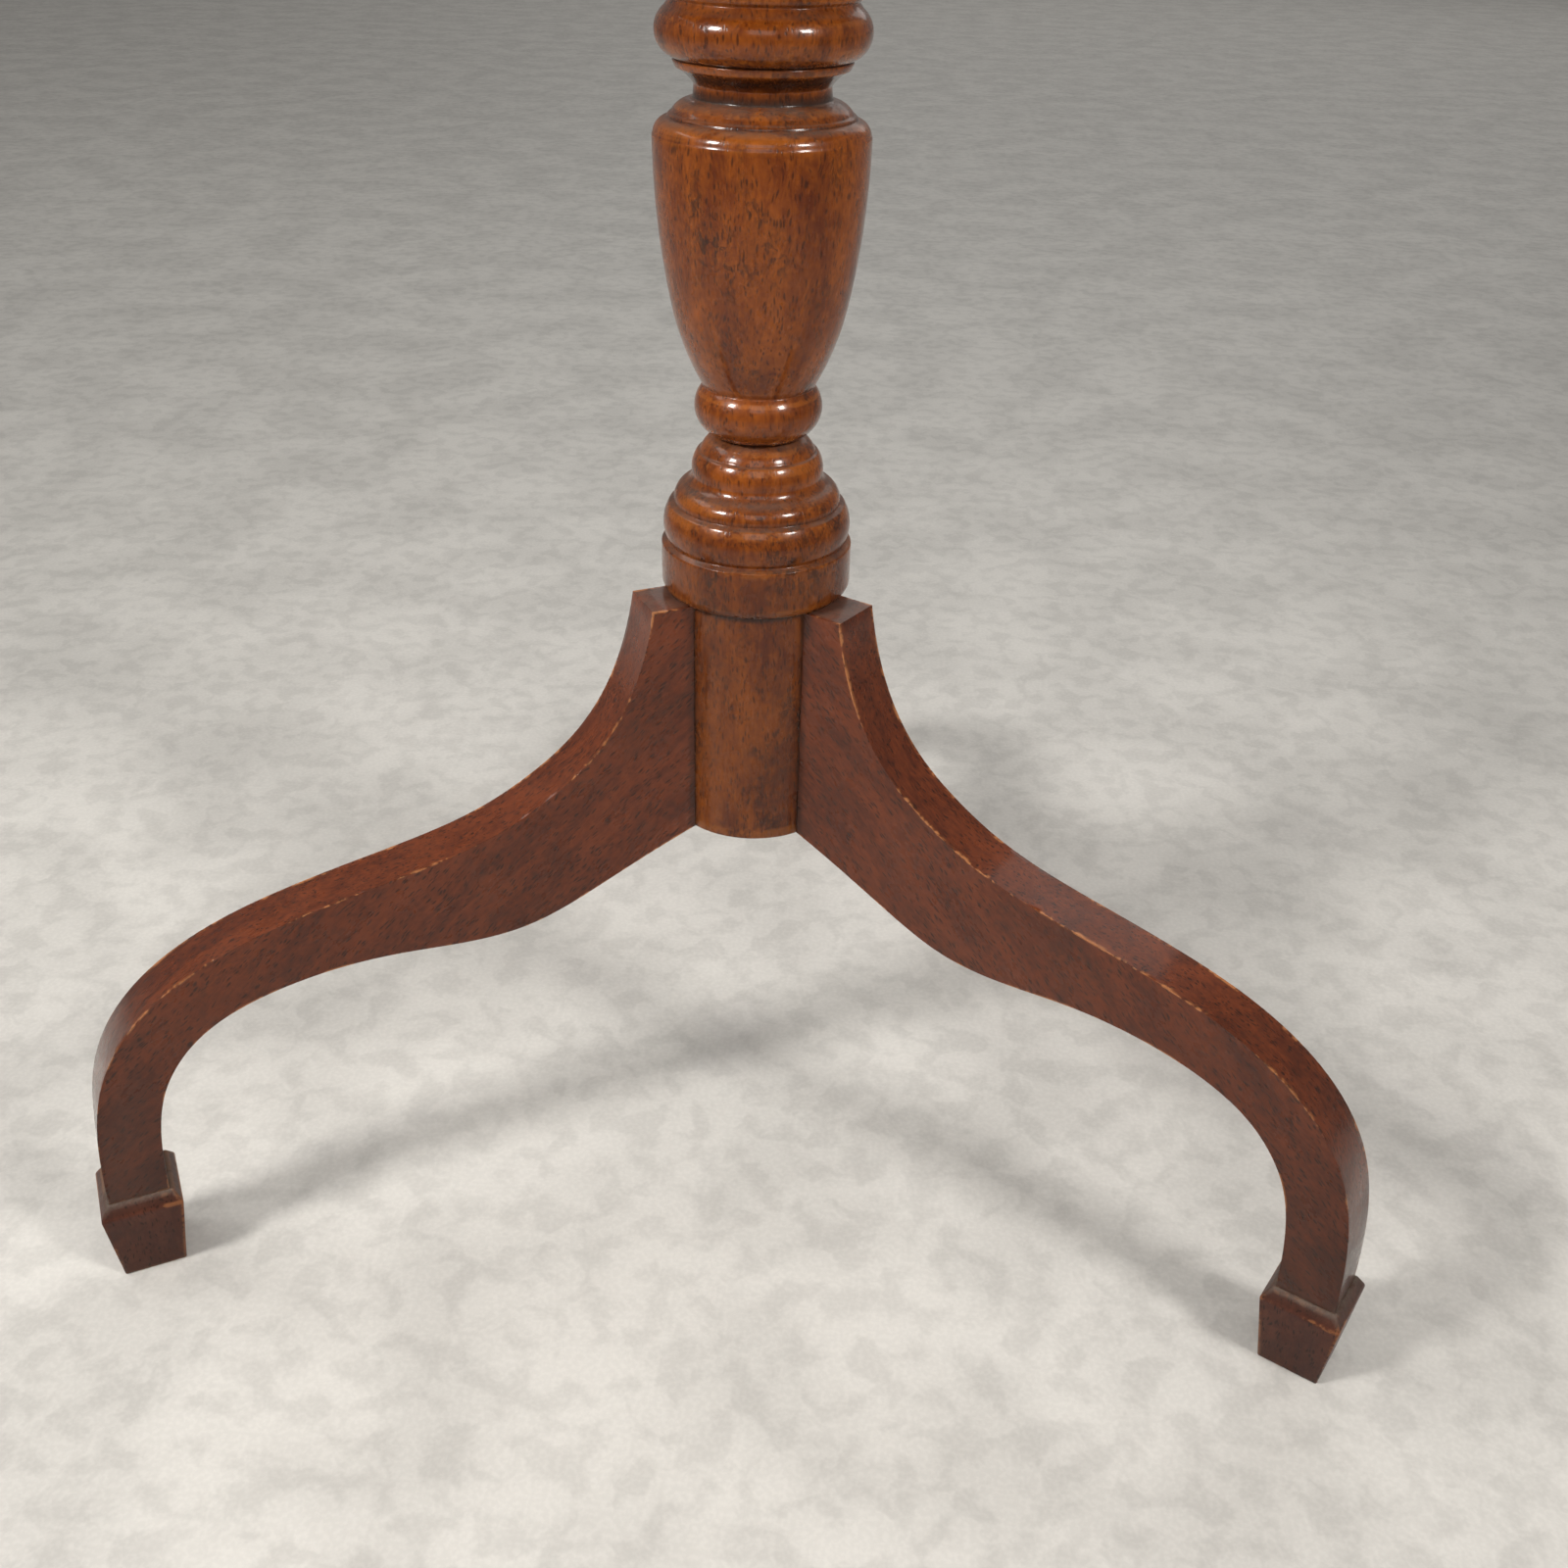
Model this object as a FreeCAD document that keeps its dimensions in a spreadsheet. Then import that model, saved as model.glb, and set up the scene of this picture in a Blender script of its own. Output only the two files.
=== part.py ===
"""Tilt top tripod table: a turned urn pedestal on three sabre legs, and a top that tips up.

Frame: millimetres, +Z up, origin on the floor under the column's axis. The back leg
points along +Y, and the two front legs at 210 and 330 degrees. The top tips about two
dowels near the front edge of its block, so its back edge rises and it faces the front.
"""
import FreeCAD, Part
import os
import Sketcher

Vector = FreeCAD.Vector

# Driving sizes in millimetres.
SIZES = {
    "table_height": 720.0,
    # Top
    "top_radius": 325.0,
    "top_thickness": 19.0,
    "board_width": 216.6,
    "edge_fillet_rise": 4.0,
    "edge_fillet_inset": 3.0,
    "edge_round_swell": 2.4,
    "edge_arris": 1.2,
    "underside_gap": 0.3,
    # Block and the tenon of the column in it
    "block_length": 150.0,
    "block_depth": 130.0,
    "block_thickness": 28.0,
    "block_chamfer": 3.0,
    "tenon_radius": 20.0,
    "wedge_offset": 8.0,
    "wedge_head": 3.0,
    "wedge_tip": 1.0,
    "wedge_depth": 18.0,
    "wedge_length": 34.0,
    # Pivot
    "pivot_offset": 50.0,
    "pivot_radius": 8.0,
    "pivot_clearance": 0.1,
    "dowel_seat": 40.0,
    "dowel_shy": 0.5,
    "dowel_chamfer": 0.8,
    # Bearers
    "bearer_width": 22.0,
    "bearer_length": 460.0,
    "bearer_depth": 28.0,
    "bearer_cheek_gap": 0.5,
    "bearer_end_depth": 12.0,
    "bearer_end_run": 44.0,
    "bearer_end_swell": 3.5,
    "bearer_screw_inner": 90.0,
    "bearer_screw_outer": 185.0,
    "bearer_screw_bore_depth": 12.0,
    "bearer_screw_bore_radius": 5.0,
    "bearer_screw_bite": 11.0,
    # Wood screws
    "screw_radius": 1.7,
    "screw_head_radius": 3.4,
    "screw_head_depth": 1.6,
    "screw_slot_width": 0.8,
    "screw_slot_depth": 0.7,
    # Latch
    "latch_plate_width": 46.0,
    "latch_plate_length": 64.0,
    "latch_plate_thickness": 1.6,
    "latch_plate_gap": 2.0,
    "latch_screw_inset": 4.5,
    "latch_screw_length": 12.0,
    "case_width": 26.0,
    "case_height": 13.0,
    "case_length": 60.0,
    "case_gap": 4.0,
    "case_rounding": 2.0,
    "bolt_width": 14.0,
    "bolt_height": 6.0,
    "bolt_length": 50.0,
    "bolt_throw": 7.0,
    "bolt_travel": 8.0,
    "bolt_clearance": 0.1,
    "bolt_drop": 7.5,
    "nose_bevel": 4.5,
    "knob_setback": 33.0,
    "knob_stem_radius": 2.5,
    "knob_stem_clearance": 0.2,
    "knob_stem_bite": 4.0,
    "knob_collar_radius": 4.5,
    "knob_radius": 6.5,
    "knob_neck_radius": 3.2,
    "knob_drop": 0.6,
    "spring_length": 18.0,
    "spring_radius": 2.4,
    "spring_wire_radius": 0.35,
    "spring_turns": 8.0,
    # Striker plate
    "striker_width": 40.0,
    "striker_height": 17.0,
    "striker_thickness": 1.6,
    "striker_drop": 1.5,
    "striker_window_margin": 1.0,
    "striker_screw_offset": 15.5,
    "striker_screw_length": 12.0,
    "bolt_mortise_depth": 12.0,
    # Column
    "column_bottom": 170.4,
    # Legs
    "leg_thickness": 25.0,
    "leg_arris": 1.2,
    "leg_top_drop": 0.5,
    "leg_top_length": 15.7,
    "leg_tuck": 6.3,
    "leg_inner_rise": 1.2,
    "foot_reach": 294.7,
    "dovetail_neck": 12.0,
    "dovetail_root": 16.0,
    "dovetail_depth": 11.0,
    "dovetail_height": 88.0,
    # Feet
    "foot_height": 42.0,
    "foot_waist_height": 36.5,
    "foot_base_width": 26.0,
    "foot_waist_spread": 4.5,
    "foot_ledge": 1.2,
    "foot_arris": 0.6,
    "foot_tenon_width": 14.0,
    "foot_tenon_depth": 25.0,
}

# Turned members of the column, bottom to top: name, rise, radius at its top and swell,
# which is how far the member bulges (+) or hollows (-) from a straight line.
LOWER_MEMBERS = [
    ("drum", 108.6, 36.3, None),
    ("band_ledge", 0.0, 38.0, None),
    ("band_lip", 5.0, 40.4, 0.8),
    ("band", 15.4, 40.4, None),
    ("band_arris", 0.6, 40.0, None),
    ("band_groove", 1.2, 38.0, None),
    ("torus", 15.3, 37.0, 2.0),
    ("rim_groove", 1.0, 34.8, None),
    ("rim", 1.5, 35.0, None),
    ("ogee_shoulder", 6.0, 31.0, 0.9),
    ("ogee_hollow", 4.3, 27.2, -0.7),
    ("ogee_nose", 9.6, 25.0, 1.1),
    ("ovolo_step", 0.4, 24.0, None),
    ("ovolo", 6.0, 18.8, 0.7),
    ("collar_neck", 0.8, 17.6, None),
    ("collar_quirk", 0.4, 18.8, None),
    ("collar", 20.0, 22.7, 5.3),
    ("urn_cup", 32.0, 35.0, 1.35),
    ("urn_body", 59.5, 41.6, 1.45),
    ("urn_lip", 3.6, 41.6, None),
    ("urn_arris", 0.5, 41.3, None),
    ("urn_shoulder", 5.5, 35.8, 1.4),
    ("urn_bead", 1.8, 34.4, 0.4),
    ("urn_round", 4.6, 27.0, 1.1),
    ("neck_step", 0.5, 26.2, None),
    ("neck", 4.5, 25.8, None),
    ("neck_cove", 5.7, 32.6, -0.7),
    ("neck_fillet", 2.5, 33.8, None),
    ("bead_groove", 0.6, 33.0, None),
    ("bead_quirk", 0.6, 34.6, None),
    ("bead", 16.7, 36.5, 4.65),
    ("bead_slope", 2.2, 34.8, None),
    ("ring_step", 0.8, 35.6, None),
    ("ring", 4.5, 35.0, 0.9),
    ("ring_ledge", 0.8, 31.5, None),
    ("shaft_cove", 12.5, 24.6, -2.6),
]
# The plain shaft between the two lists takes up whatever height is left.
UPPER_MEMBERS = [
    ("astragal_quirk", 1.0, 18.4, None),
    ("astragal", 8.5, 18.4, 3.6),
    ("bell_quirk", 1.0, 19.4, None),
    ("bell", 24.0, 33.0, -4.2),
    ("abacus_step", 1.0, 35.2, None),
    ("abacus", 7.0, 35.2, 1.2),
]
SHAFT_TOP_RADIUS = ("shaft_top_radius", 19.4)

# Handles of a leg's two curves, as shares of its span: outwards from its shoulder, and
# upwards from its foot.
UPPER_CURVE = [
    (0.0, 1.0),
    (0.03, 0.795),
    (0.205, 0.64),
    (0.38, 0.575),
    (0.745, 0.515),
    (0.96, 0.355),
    (1.0, 0.175),
    (1.0, 0.0),
]
LOWER_CURVE = [
    (0.0, 1.0),
    (0.165, 0.875),
    (0.325, 0.665),
    (0.585, 0.77),
    (0.84, 0.695),
    (0.96, 0.515),
    (1.0, 0.29),
    (1.0, 0.0),
]
CURVE_DEGREE = 3
COUNTERSINK_TAPER = "-45 deg"
LEG_ANGLES = {"back": 90.0, "left": 210.0, "right": 330.0}
BACK_ANGLE = LEG_ANGLES["back"]

# Levels and lines that several pieces share, as expressions.
TOP_UNDERSIDE = "(Sizes.table_height - Sizes.top_thickness)"
BLOCK_TOP = f"({TOP_UNDERSIDE} - Sizes.underside_gap)"
BLOCK_BOTTOM = f"({BLOCK_TOP} - Sizes.block_thickness)"
PIVOT_HEIGHT = f"({BLOCK_TOP} - Sizes.block_thickness / 2)"
PIVOT_LINE = "(-Sizes.pivot_offset)"
BLOCK_FRONT = "(-Sizes.pivot_offset - Sizes.block_thickness / 2)"
BLOCK_REAR = f"({BLOCK_FRONT} + Sizes.block_depth)"
BEARER_INNER = "(Sizes.block_length / 2 + Sizes.bearer_cheek_gap)"
BEARER_OUTER = f"({BEARER_INNER} + Sizes.bearer_width)"
BEARER_MIDDLE = f"({BEARER_INNER} + Sizes.bearer_width / 2)"
BEARER_BOTTOM = f"({TOP_UNDERSIDE} - Sizes.bearer_depth)"
BEARER_SCREW_SEAT = f"({BEARER_BOTTOM} + Sizes.bearer_screw_bore_depth)"
BEARER_SCREW_LENGTH = f"({TOP_UNDERSIDE} - {BEARER_SCREW_SEAT} + Sizes.bearer_screw_bite)"
LATCH_PLATE_BOTTOM = f"({TOP_UNDERSIDE} - Sizes.latch_plate_thickness)"
LATCH_PLATE_FRONT = f"({BLOCK_REAR} + Sizes.latch_plate_gap)"
BOLT_MIDDLE = f"({LATCH_PLATE_BOTTOM} - Sizes.bolt_drop)"
BOLT_NOSE = f"({BLOCK_REAR} - Sizes.bolt_throw)"
BOLT_TAIL = f"({BOLT_NOSE} + Sizes.bolt_length)"
CHANNEL_END = f"({BOLT_TAIL} + Sizes.spring_length)"
CASE_FRONT = f"({BLOCK_REAR} + Sizes.case_gap)"
CASE_BOTTOM = f"({LATCH_PLATE_BOTTOM} - Sizes.case_height)"
KNOB_LINE = f"({BOLT_NOSE} + Sizes.knob_setback)"
STRIKER_MIDDLE = f"({BOLT_MIDDLE} - Sizes.striker_drop)"
WINDOW_HALF_WIDTH = "(Sizes.bolt_width / 2 + Sizes.striker_window_margin)"
WINDOW_HALF_HEIGHT = "(Sizes.bolt_height / 2 + Sizes.striker_window_margin)"
LEG_TOP = "(Sizes.column_bottom + Sizes.drum_rise - Sizes.leg_top_drop)"
LEG_TOP_REACH = "(Sizes.drum_radius + Sizes.leg_top_length)"
LEG_INNER = "(Sizes.drum_radius - Sizes.leg_tuck)"
ANKLE_OUTER = "(Sizes.foot_reach + Sizes.leg_thickness / 2)"
ANKLE_INNER = "(Sizes.foot_reach - Sizes.leg_thickness / 2)"
FOOT_WAIST_WIDTH = "(Sizes.leg_thickness + Sizes.foot_waist_spread * 2)"
FOOT_NECK_WIDTH = "(Sizes.leg_thickness + Sizes.foot_ledge * 2)"

DOC = FreeCAD.newDocument("tilt_top_table")
SHEET = DOC.addObject("Spreadsheet::Sheet", "Sizes")


def fill_sheet():
    """Write every driving size in the sheet, one row each, with its name as the alias."""
    sizes = dict(SIZES)
    sizes[SHAFT_TOP_RADIUS[0]] = SHAFT_TOP_RADIUS[1]
    for name, rise, radius, swell in LOWER_MEMBERS + UPPER_MEMBERS:
        sizes[f"{name}_rise"] = rise
        sizes[f"{name}_radius"] = radius
        if swell is not None:
            sizes[f"{name}_swell"] = swell
    for row, (name, value) in enumerate(sizes.items(), start=1):
        SHEET.set(f"A{row}", name.replace("_", " "))
        SHEET.set(f"B{row}", str(value))
        SHEET.setAlias(f"B{row}", name)
    DOC.recompute()


def number(expression):
    """The present value of an expression of the sheet's sizes."""
    return float(SHEET.evalExpression(str(expression)))


# Sketch helpers. Places in a sketch are numbers or expressions.

def new_body(name):
    """A body whose label names its file."""
    body = DOC.addObject("PartDesign::Body", name)
    body.Label = name
    return body


def new_sketch(body, name, role, level="0"):
    """A sketch parallel to an origin plane of its body, at a level along the third axis."""
    sketch = body.newObject("Sketcher::SketchObject", name)
    plane = [feature for feature in body.Origin.OriginFeatures if feature.Role == role][0]
    sketch.AttachmentSupport = [(plane, "")]
    sketch.MapMode = "FlatFace"
    # The XZ plane's normal points along -Y.
    offset = f"-({level})" if role == "XZ_Plane" else level
    sketch.setExpression("AttachmentOffset.Base.z", offset)
    return sketch


def bind(sketch, kind, *where, size):
    """Add a constraint to a sketch whose value is an expression."""
    index = sketch.addConstraint(Sketcher.Constraint(kind, *where, number(size)))
    sketch.setExpression(f"Constraints[{index}]", str(size))


def pin(sketch, edge, end, place_x, place_y):
    """Hold one end of an edge at a place, measured from the sketch's origin."""
    for kind, axis, place in (("DistanceX", -2, place_x), ("DistanceY", -1, place_y)):
        if str(place) == "0":
            sketch.addConstraint(Sketcher.Constraint("PointOnObject", edge, end, axis))
        else:
            bind(sketch, kind, -1, 1, edge, end, size=place)


def arc_radius(run, rise, swell):
    """The radius of an arc whose chord is (run, rise) and whose height is swell."""
    height = f"abs({swell})"
    return f"((({run})^2 + ({rise})^2) / (8 * {height}) + {height} / 2)"


def outline(sketch, corners, bends=None):
    """Draw a closed outline through its corners, counter-clockwise.

    bends maps a corner's index to (swell, radius) for the edge that leaves that corner:
    a positive swell bulges out of the outline.
    """
    bends = bends or {}
    points = [Vector(number(x), number(y), 0) for x, y in corners]
    edges = []
    for index, start in enumerate(points):
        finish = points[(index + 1) % len(points)]
        if index in bends:
            swell = number(bends[index][0])
            chord = finish - start
            side = Vector(chord.y, -chord.x, 0).normalize()
            crown = (start + finish) / 2 + side * swell
            edge = sketch.addGeometry(Part.Arc(start, crown, finish))
            bind(sketch, "Radius", edge, size=bends[index][1])
            edges.append((edge, 1, 2) if swell > 0 else (edge, 2, 1))
        else:
            edge = sketch.addGeometry(Part.LineSegment(start, finish))
            edges.append((edge, 1, 2))
    for index, (edge, start, finish) in enumerate(edges):
        following, following_start, _ = edges[(index + 1) % len(edges)]
        joint = Sketcher.Constraint("Coincident", edge, finish, following, following_start)
        sketch.addConstraint(joint)
        pin(sketch, edge, start, *corners[index])
    return edges


def rectangle(sketch, left, right, bottom, top):
    """Draw a rectangle between two pairs of lines."""
    outline(sketch, [(left, bottom), (right, bottom), (right, top), (left, top)])


def circle(sketch, place_x, place_y, radius):
    """Draw a circle."""
    centre = Vector(number(place_x), number(place_y), 0)
    shape = Part.Circle(centre, Vector(0, 0, 1), number(radius))
    edge = sketch.addGeometry(shape)
    pin(sketch, edge, 3, place_x, place_y)
    bind(sketch, "Radius", edge, size=radius)


def spline(sketch, handles):
    """Draw an open cubic curve whose handles are bound, and return its index."""
    points = [Vector(number(x), number(y), 0) for x, y in handles]
    curve = Part.BSplineCurve()
    curve.buildFromPoles(points, False, CURVE_DEGREE)
    edge = sketch.addGeometry(curve)
    sketch.exposeInternalGeometry(edge)
    for index, (place_x, place_y) in enumerate(handles):
        pin(sketch, edge + 1 + index, 3, place_x, place_y)
    return edge


# Feature helpers.

def pad(body, sketch, length, reverse=False, both_ways=False):
    """Pad a sketch by a length: along its normal, against it, or half each way."""
    feature = body.newObject("PartDesign::Pad", f"{sketch.Name}_pad")
    feature.Profile = sketch
    feature.setExpression("Length", str(length))
    feature.Reversed = reverse
    if both_ways:
        feature.SideType = "Symmetric"
    return settle(body, feature, adds=True)


def pocket(body, sketch, length=None, reverse=False, both_ways=False):
    """Cut a sketch from a body to a depth, or right through both ways without a length."""
    feature = body.newObject("PartDesign::Pocket", f"{sketch.Name}_pocket")
    feature.Profile = sketch
    feature.Reversed = reverse
    if both_ways:
        feature.SideType = "Symmetric"
    if length is None:
        feature.SideType = "Symmetric"
        feature.Type = "ThroughAll"
    else:
        feature.setExpression("Length", str(length))
    return settle(body, feature, adds=False)


def revolve(body, sketch, axis, groove=False):
    """Turn a sketch a full circle about one of its own axes."""
    kind = "PartDesign::Groove" if groove else "PartDesign::Revolution"
    feature = body.newObject(kind, f"{sketch.Name}_turned")
    feature.Profile = sketch
    feature.ReferenceAxis = (sketch, [axis])
    feature.Angle = 360.0
    return settle(body, feature, adds=not groove)


def settle(body, feature, adds):
    """Recompute a body, and stop if a feature changed its volume the wrong way."""
    base = feature.BaseFeature
    before = base.Shape.Volume if base else 0.0
    body.Tip = feature
    DOC.recompute()
    sketch = feature.Profile[0]
    sketch.Visibility = False
    change = feature.Shape.Volume - before
    if (change <= 0) if adds else (change >= 0):
        raise RuntimeError(f"{feature.Name} changed the volume of {body.Label} by {change}")
    return feature


def dress(body, kind, size_name, size, chosen):
    """Fillet or chamfer the edges of a body's tip that a test chooses."""
    base = body.Tip
    names = [f"Edge{n}" for n, edge in enumerate(base.Shape.Edges, start=1) if chosen(edge)]
    feature = body.newObject(kind, f"{body.Name}_{size_name.lower()}")
    feature.Base = (base, names)
    feature.setExpression(size_name, size)
    body.Tip = feature
    DOC.recompute()
    return feature


def taper(body, feature, angle):
    """Give a pad or pocket a taper: a negative angle narrows it away from its sketch."""
    feature.setExpression("TaperAngle", angle)
    body.Tip = feature
    DOC.recompute()


def turn_about_axis(piece, angle):
    """Turn a piece about the table's axis."""
    piece.Placement = FreeCAD.Placement(Vector(), FreeCAD.Rotation(Vector(0, 0, 1), angle))


def is_line_along(edge, axis):
    """Whether an edge is a straight line along X (0), Y (1) or Z (2)."""
    if edge.Curve.TypeId != "Part::GeomLine":
        return False
    return abs(edge.Curve.Direction[axis]) > 0.999


# Pedestal.

def climb(members, radius, level):
    """Corners and bends of a stack of turned members that starts at a radius and level."""
    corners = []
    bends = []
    for name, _, _, swell in members:
        new_radius = f"Sizes.{name}_radius"
        level = f"{level} + Sizes.{name}_rise"
        corners.append((new_radius, level))
        bend = None
        if swell is not None:
            size = arc_radius(f"{new_radius} - {radius}", f"Sizes.{name}_rise",
                              f"Sizes.{name}_swell")
            bend = (f"Sizes.{name}_swell", size)
        bends.append(bend)
        radius = new_radius
    return corners, bends


def dovetail(sketch):
    """Draw the sliding dovetail of a leg in plan, on the leg's own side of the column."""
    root = "(Sizes.drum_radius - Sizes.dovetail_depth)"
    face = "(Sizes.drum_radius + Sizes.leg_thickness / 4)"
    outline(sketch, [
        (root, "-Sizes.dovetail_root / 2"),
        (LEG_INNER, "-Sizes.dovetail_neck / 2"),
        (face, "-Sizes.dovetail_neck / 2"),
        (face, "Sizes.dovetail_neck / 2"),
        (LEG_INNER, "Sizes.dovetail_neck / 2"),
        (root, "Sizes.dovetail_root / 2"),
    ])


def wedge_outlines(sketch):
    """Draw both tenon wedges from their side, from the top of the tenon down."""
    bottom = f"{BLOCK_TOP} - Sizes.wedge_depth"
    for side in ("-", ""):
        middle = f"{side}Sizes.wedge_offset"
        outline(sketch, [
            (f"{middle} - Sizes.wedge_tip / 2", bottom),
            (f"{middle} + Sizes.wedge_tip / 2", bottom),
            (f"{middle} + Sizes.wedge_head / 2", BLOCK_TOP),
            (f"{middle} - Sizes.wedge_head / 2", BLOCK_TOP),
        ])


def make_column():
    """The turned column, with a slot for each leg and a wedged tenon on top."""
    body = new_body("column")
    turning = new_sketch(body, "column_outline", "XZ_Plane")
    lower, lower_bends = climb(LOWER_MEMBERS, "Sizes.drum_radius", "Sizes.column_bottom")
    upper_rise = " + ".join(f"Sizes.{member[0]}_rise" for member in UPPER_MEMBERS)
    shaft_top = f"{BLOCK_BOTTOM} - ({upper_rise})"
    upper, upper_bends = climb(UPPER_MEMBERS, "Sizes.shaft_top_radius", shaft_top)
    corners = [("0", "Sizes.column_bottom"), ("Sizes.drum_radius", "Sizes.column_bottom")]
    corners += lower + [("Sizes.shaft_top_radius", shaft_top)] + upper
    corners += [("Sizes.tenon_radius", BLOCK_BOTTOM), ("Sizes.tenon_radius", BLOCK_TOP)]
    corners += [("0", BLOCK_TOP)]
    edge_bends = [None] + lower_bends + [None] + upper_bends
    bends = {index: bend for index, bend in enumerate(edge_bends) if bend}
    outline(turning, corners, bends)
    revolve(body, turning, "V_Axis")

    slot = new_sketch(body, "leg_slot", "XY_Plane", "Sizes.column_bottom")
    dovetail(slot)
    first_slot = pocket(body, slot, "Sizes.dovetail_height", reverse=True)
    slots = body.newObject("PartDesign::PolarPattern", "leg_slots")
    slots.Originals = [first_slot]
    axis = [feature for feature in body.Origin.OriginFeatures if feature.Role == "Z_Axis"][0]
    slots.Axis = (axis, [""])
    slots.Angle = 360.0
    slots.Occurrences = len(LEG_ANGLES)
    body.Tip = slots
    DOC.recompute()

    wedges = new_sketch(body, "wedge_slots", "YZ_Plane")
    wedge_outlines(wedges)
    pocket(body, wedges, "Sizes.wedge_length", both_ways=True)
    turn_about_axis(body, BACK_ANGLE)


def make_tenon_wedges():
    """Two wedges that spread the tenon in the block, across the block's grain."""
    body = new_body("tenon_wedges")
    body.AllowCompound = True
    sketch = new_sketch(body, "wedge_sides", "YZ_Plane")
    wedge_outlines(sketch)
    pad(body, sketch, "Sizes.wedge_length", both_ways=True)
    turn_about_axis(body, BACK_ANGLE)


def leg_curve(shares, inner, outer, top):
    """Handles of one curve of a leg, from its shoulder at the top to its foot."""
    bottom = "Sizes.foot_height"
    handles = []
    for outwards, upwards in shares:
        place_x = f"{inner} + ({outer} - {inner}) * {outwards}"
        place_y = f"{bottom} + ({top} - {bottom}) * {upwards}"
        handles.append((place_x, place_y))
    return handles


def make_leg(name, angle):
    """A sabre leg: sawn to its curve, scribed to the column, with a tongue and a tenon."""
    body = new_body(f"leg_{name}")
    side = new_sketch(body, f"leg_{name}_side", "XZ_Plane")
    inner_bottom = "(Sizes.column_bottom + Sizes.leg_inner_rise)"
    upper = spline(side, leg_curve(UPPER_CURVE, LEG_TOP_REACH, ANKLE_OUTER, LEG_TOP))
    lower = spline(side, leg_curve(LOWER_CURVE, LEG_INNER, ANKLE_INNER, inner_bottom))
    ends = [
        (upper, 1, LEG_TOP_REACH, LEG_TOP),
        (None, None, LEG_INNER, LEG_TOP),
        (lower, 1, LEG_INNER, inner_bottom),
    ]
    places = [Vector(number(x), number(y), 0) for _, _, x, y in ends]
    top_edge = side.addGeometry(Part.LineSegment(places[0], places[1]))
    inner_edge = side.addGeometry(Part.LineSegment(places[1], places[2]))
    ankle = [Vector(number(x), number("Sizes.foot_height"), 0) for x in (ANKLE_INNER, ANKLE_OUTER)]
    foot_edge = side.addGeometry(Part.LineSegment(ankle[0], ankle[1]))
    for first, first_end, second, second_end in (
        (upper, 1, top_edge, 1),
        (top_edge, 2, inner_edge, 1),
        (inner_edge, 2, lower, 1),
        (lower, 2, foot_edge, 1),
        (foot_edge, 2, upper, 2),
    ):
        joint = Sketcher.Constraint("Coincident", first, first_end, second, second_end)
        side.addConstraint(joint)
    pin(side, top_edge, 2, LEG_INNER, LEG_TOP)
    pad(body, side, "Sizes.leg_thickness", both_ways=True)

    def is_long_edge(edge):
        return edge.Curve.TypeId == "Part::GeomBSplineCurve"

    dress(body, "PartDesign::Fillet", "Radius", "Sizes.leg_arris", is_long_edge)

    scribe = new_sketch(body, f"leg_{name}_scribe", "XY_Plane")
    circle(scribe, "0", "0", "Sizes.drum_radius")
    pocket(body, scribe)

    tongue = new_sketch(body, f"leg_{name}_tongue", "XY_Plane", "Sizes.column_bottom")
    dovetail(tongue)
    pad(body, tongue, "Sizes.dovetail_height")

    tenon = new_sketch(body, f"leg_{name}_tenon", "XY_Plane", "Sizes.foot_height")
    foot_tenon(tenon)
    pad(body, tenon, "Sizes.foot_tenon_depth", reverse=True)
    turn_about_axis(body, angle)


def square_at_foot(sketch, width):
    """Draw a square of a given width round the foot's centre."""
    half = f"{width} / 2"
    rectangle(sketch, f"Sizes.foot_reach - {half}", f"Sizes.foot_reach + {half}",
              f"-{half}", half)


def foot_tenon(sketch):
    """Draw the leg's square tenon at the foot's centre."""
    square_at_foot(sketch, "Sizes.foot_tenon_width")


def make_foot(name, angle):
    """A spade foot that tapers to the floor, mortised for its leg."""
    body = new_body(f"foot_{name}")
    shoulder_rise = "(Sizes.foot_height - Sizes.foot_waist_height)"
    for end, rise, width, reverse in (
        ("spade", "Sizes.foot_waist_height", "Sizes.foot_base_width", True),
        ("shoulder", shoulder_rise, FOOT_NECK_WIDTH, False),
    ):
        level = "Sizes.foot_waist_height"
        section = new_sketch(body, f"foot_{name}_{end}", "XY_Plane", level)
        square_at_foot(section, FOOT_WAIST_WIDTH)
        block = pad(body, section, rise, reverse=reverse)
        taper(body, block, f"-atan(({FOOT_WAIST_WIDTH} - {width}) / 2 / {rise})")
    dress(body, "PartDesign::Fillet", "Radius", "Sizes.foot_arris", lambda edge: True)

    mortise = new_sketch(body, f"foot_{name}_mortise", "XY_Plane", "Sizes.foot_height")
    foot_tenon(mortise)
    pocket(body, mortise, "Sizes.foot_tenon_depth")
    turn_about_axis(body, angle)


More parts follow.
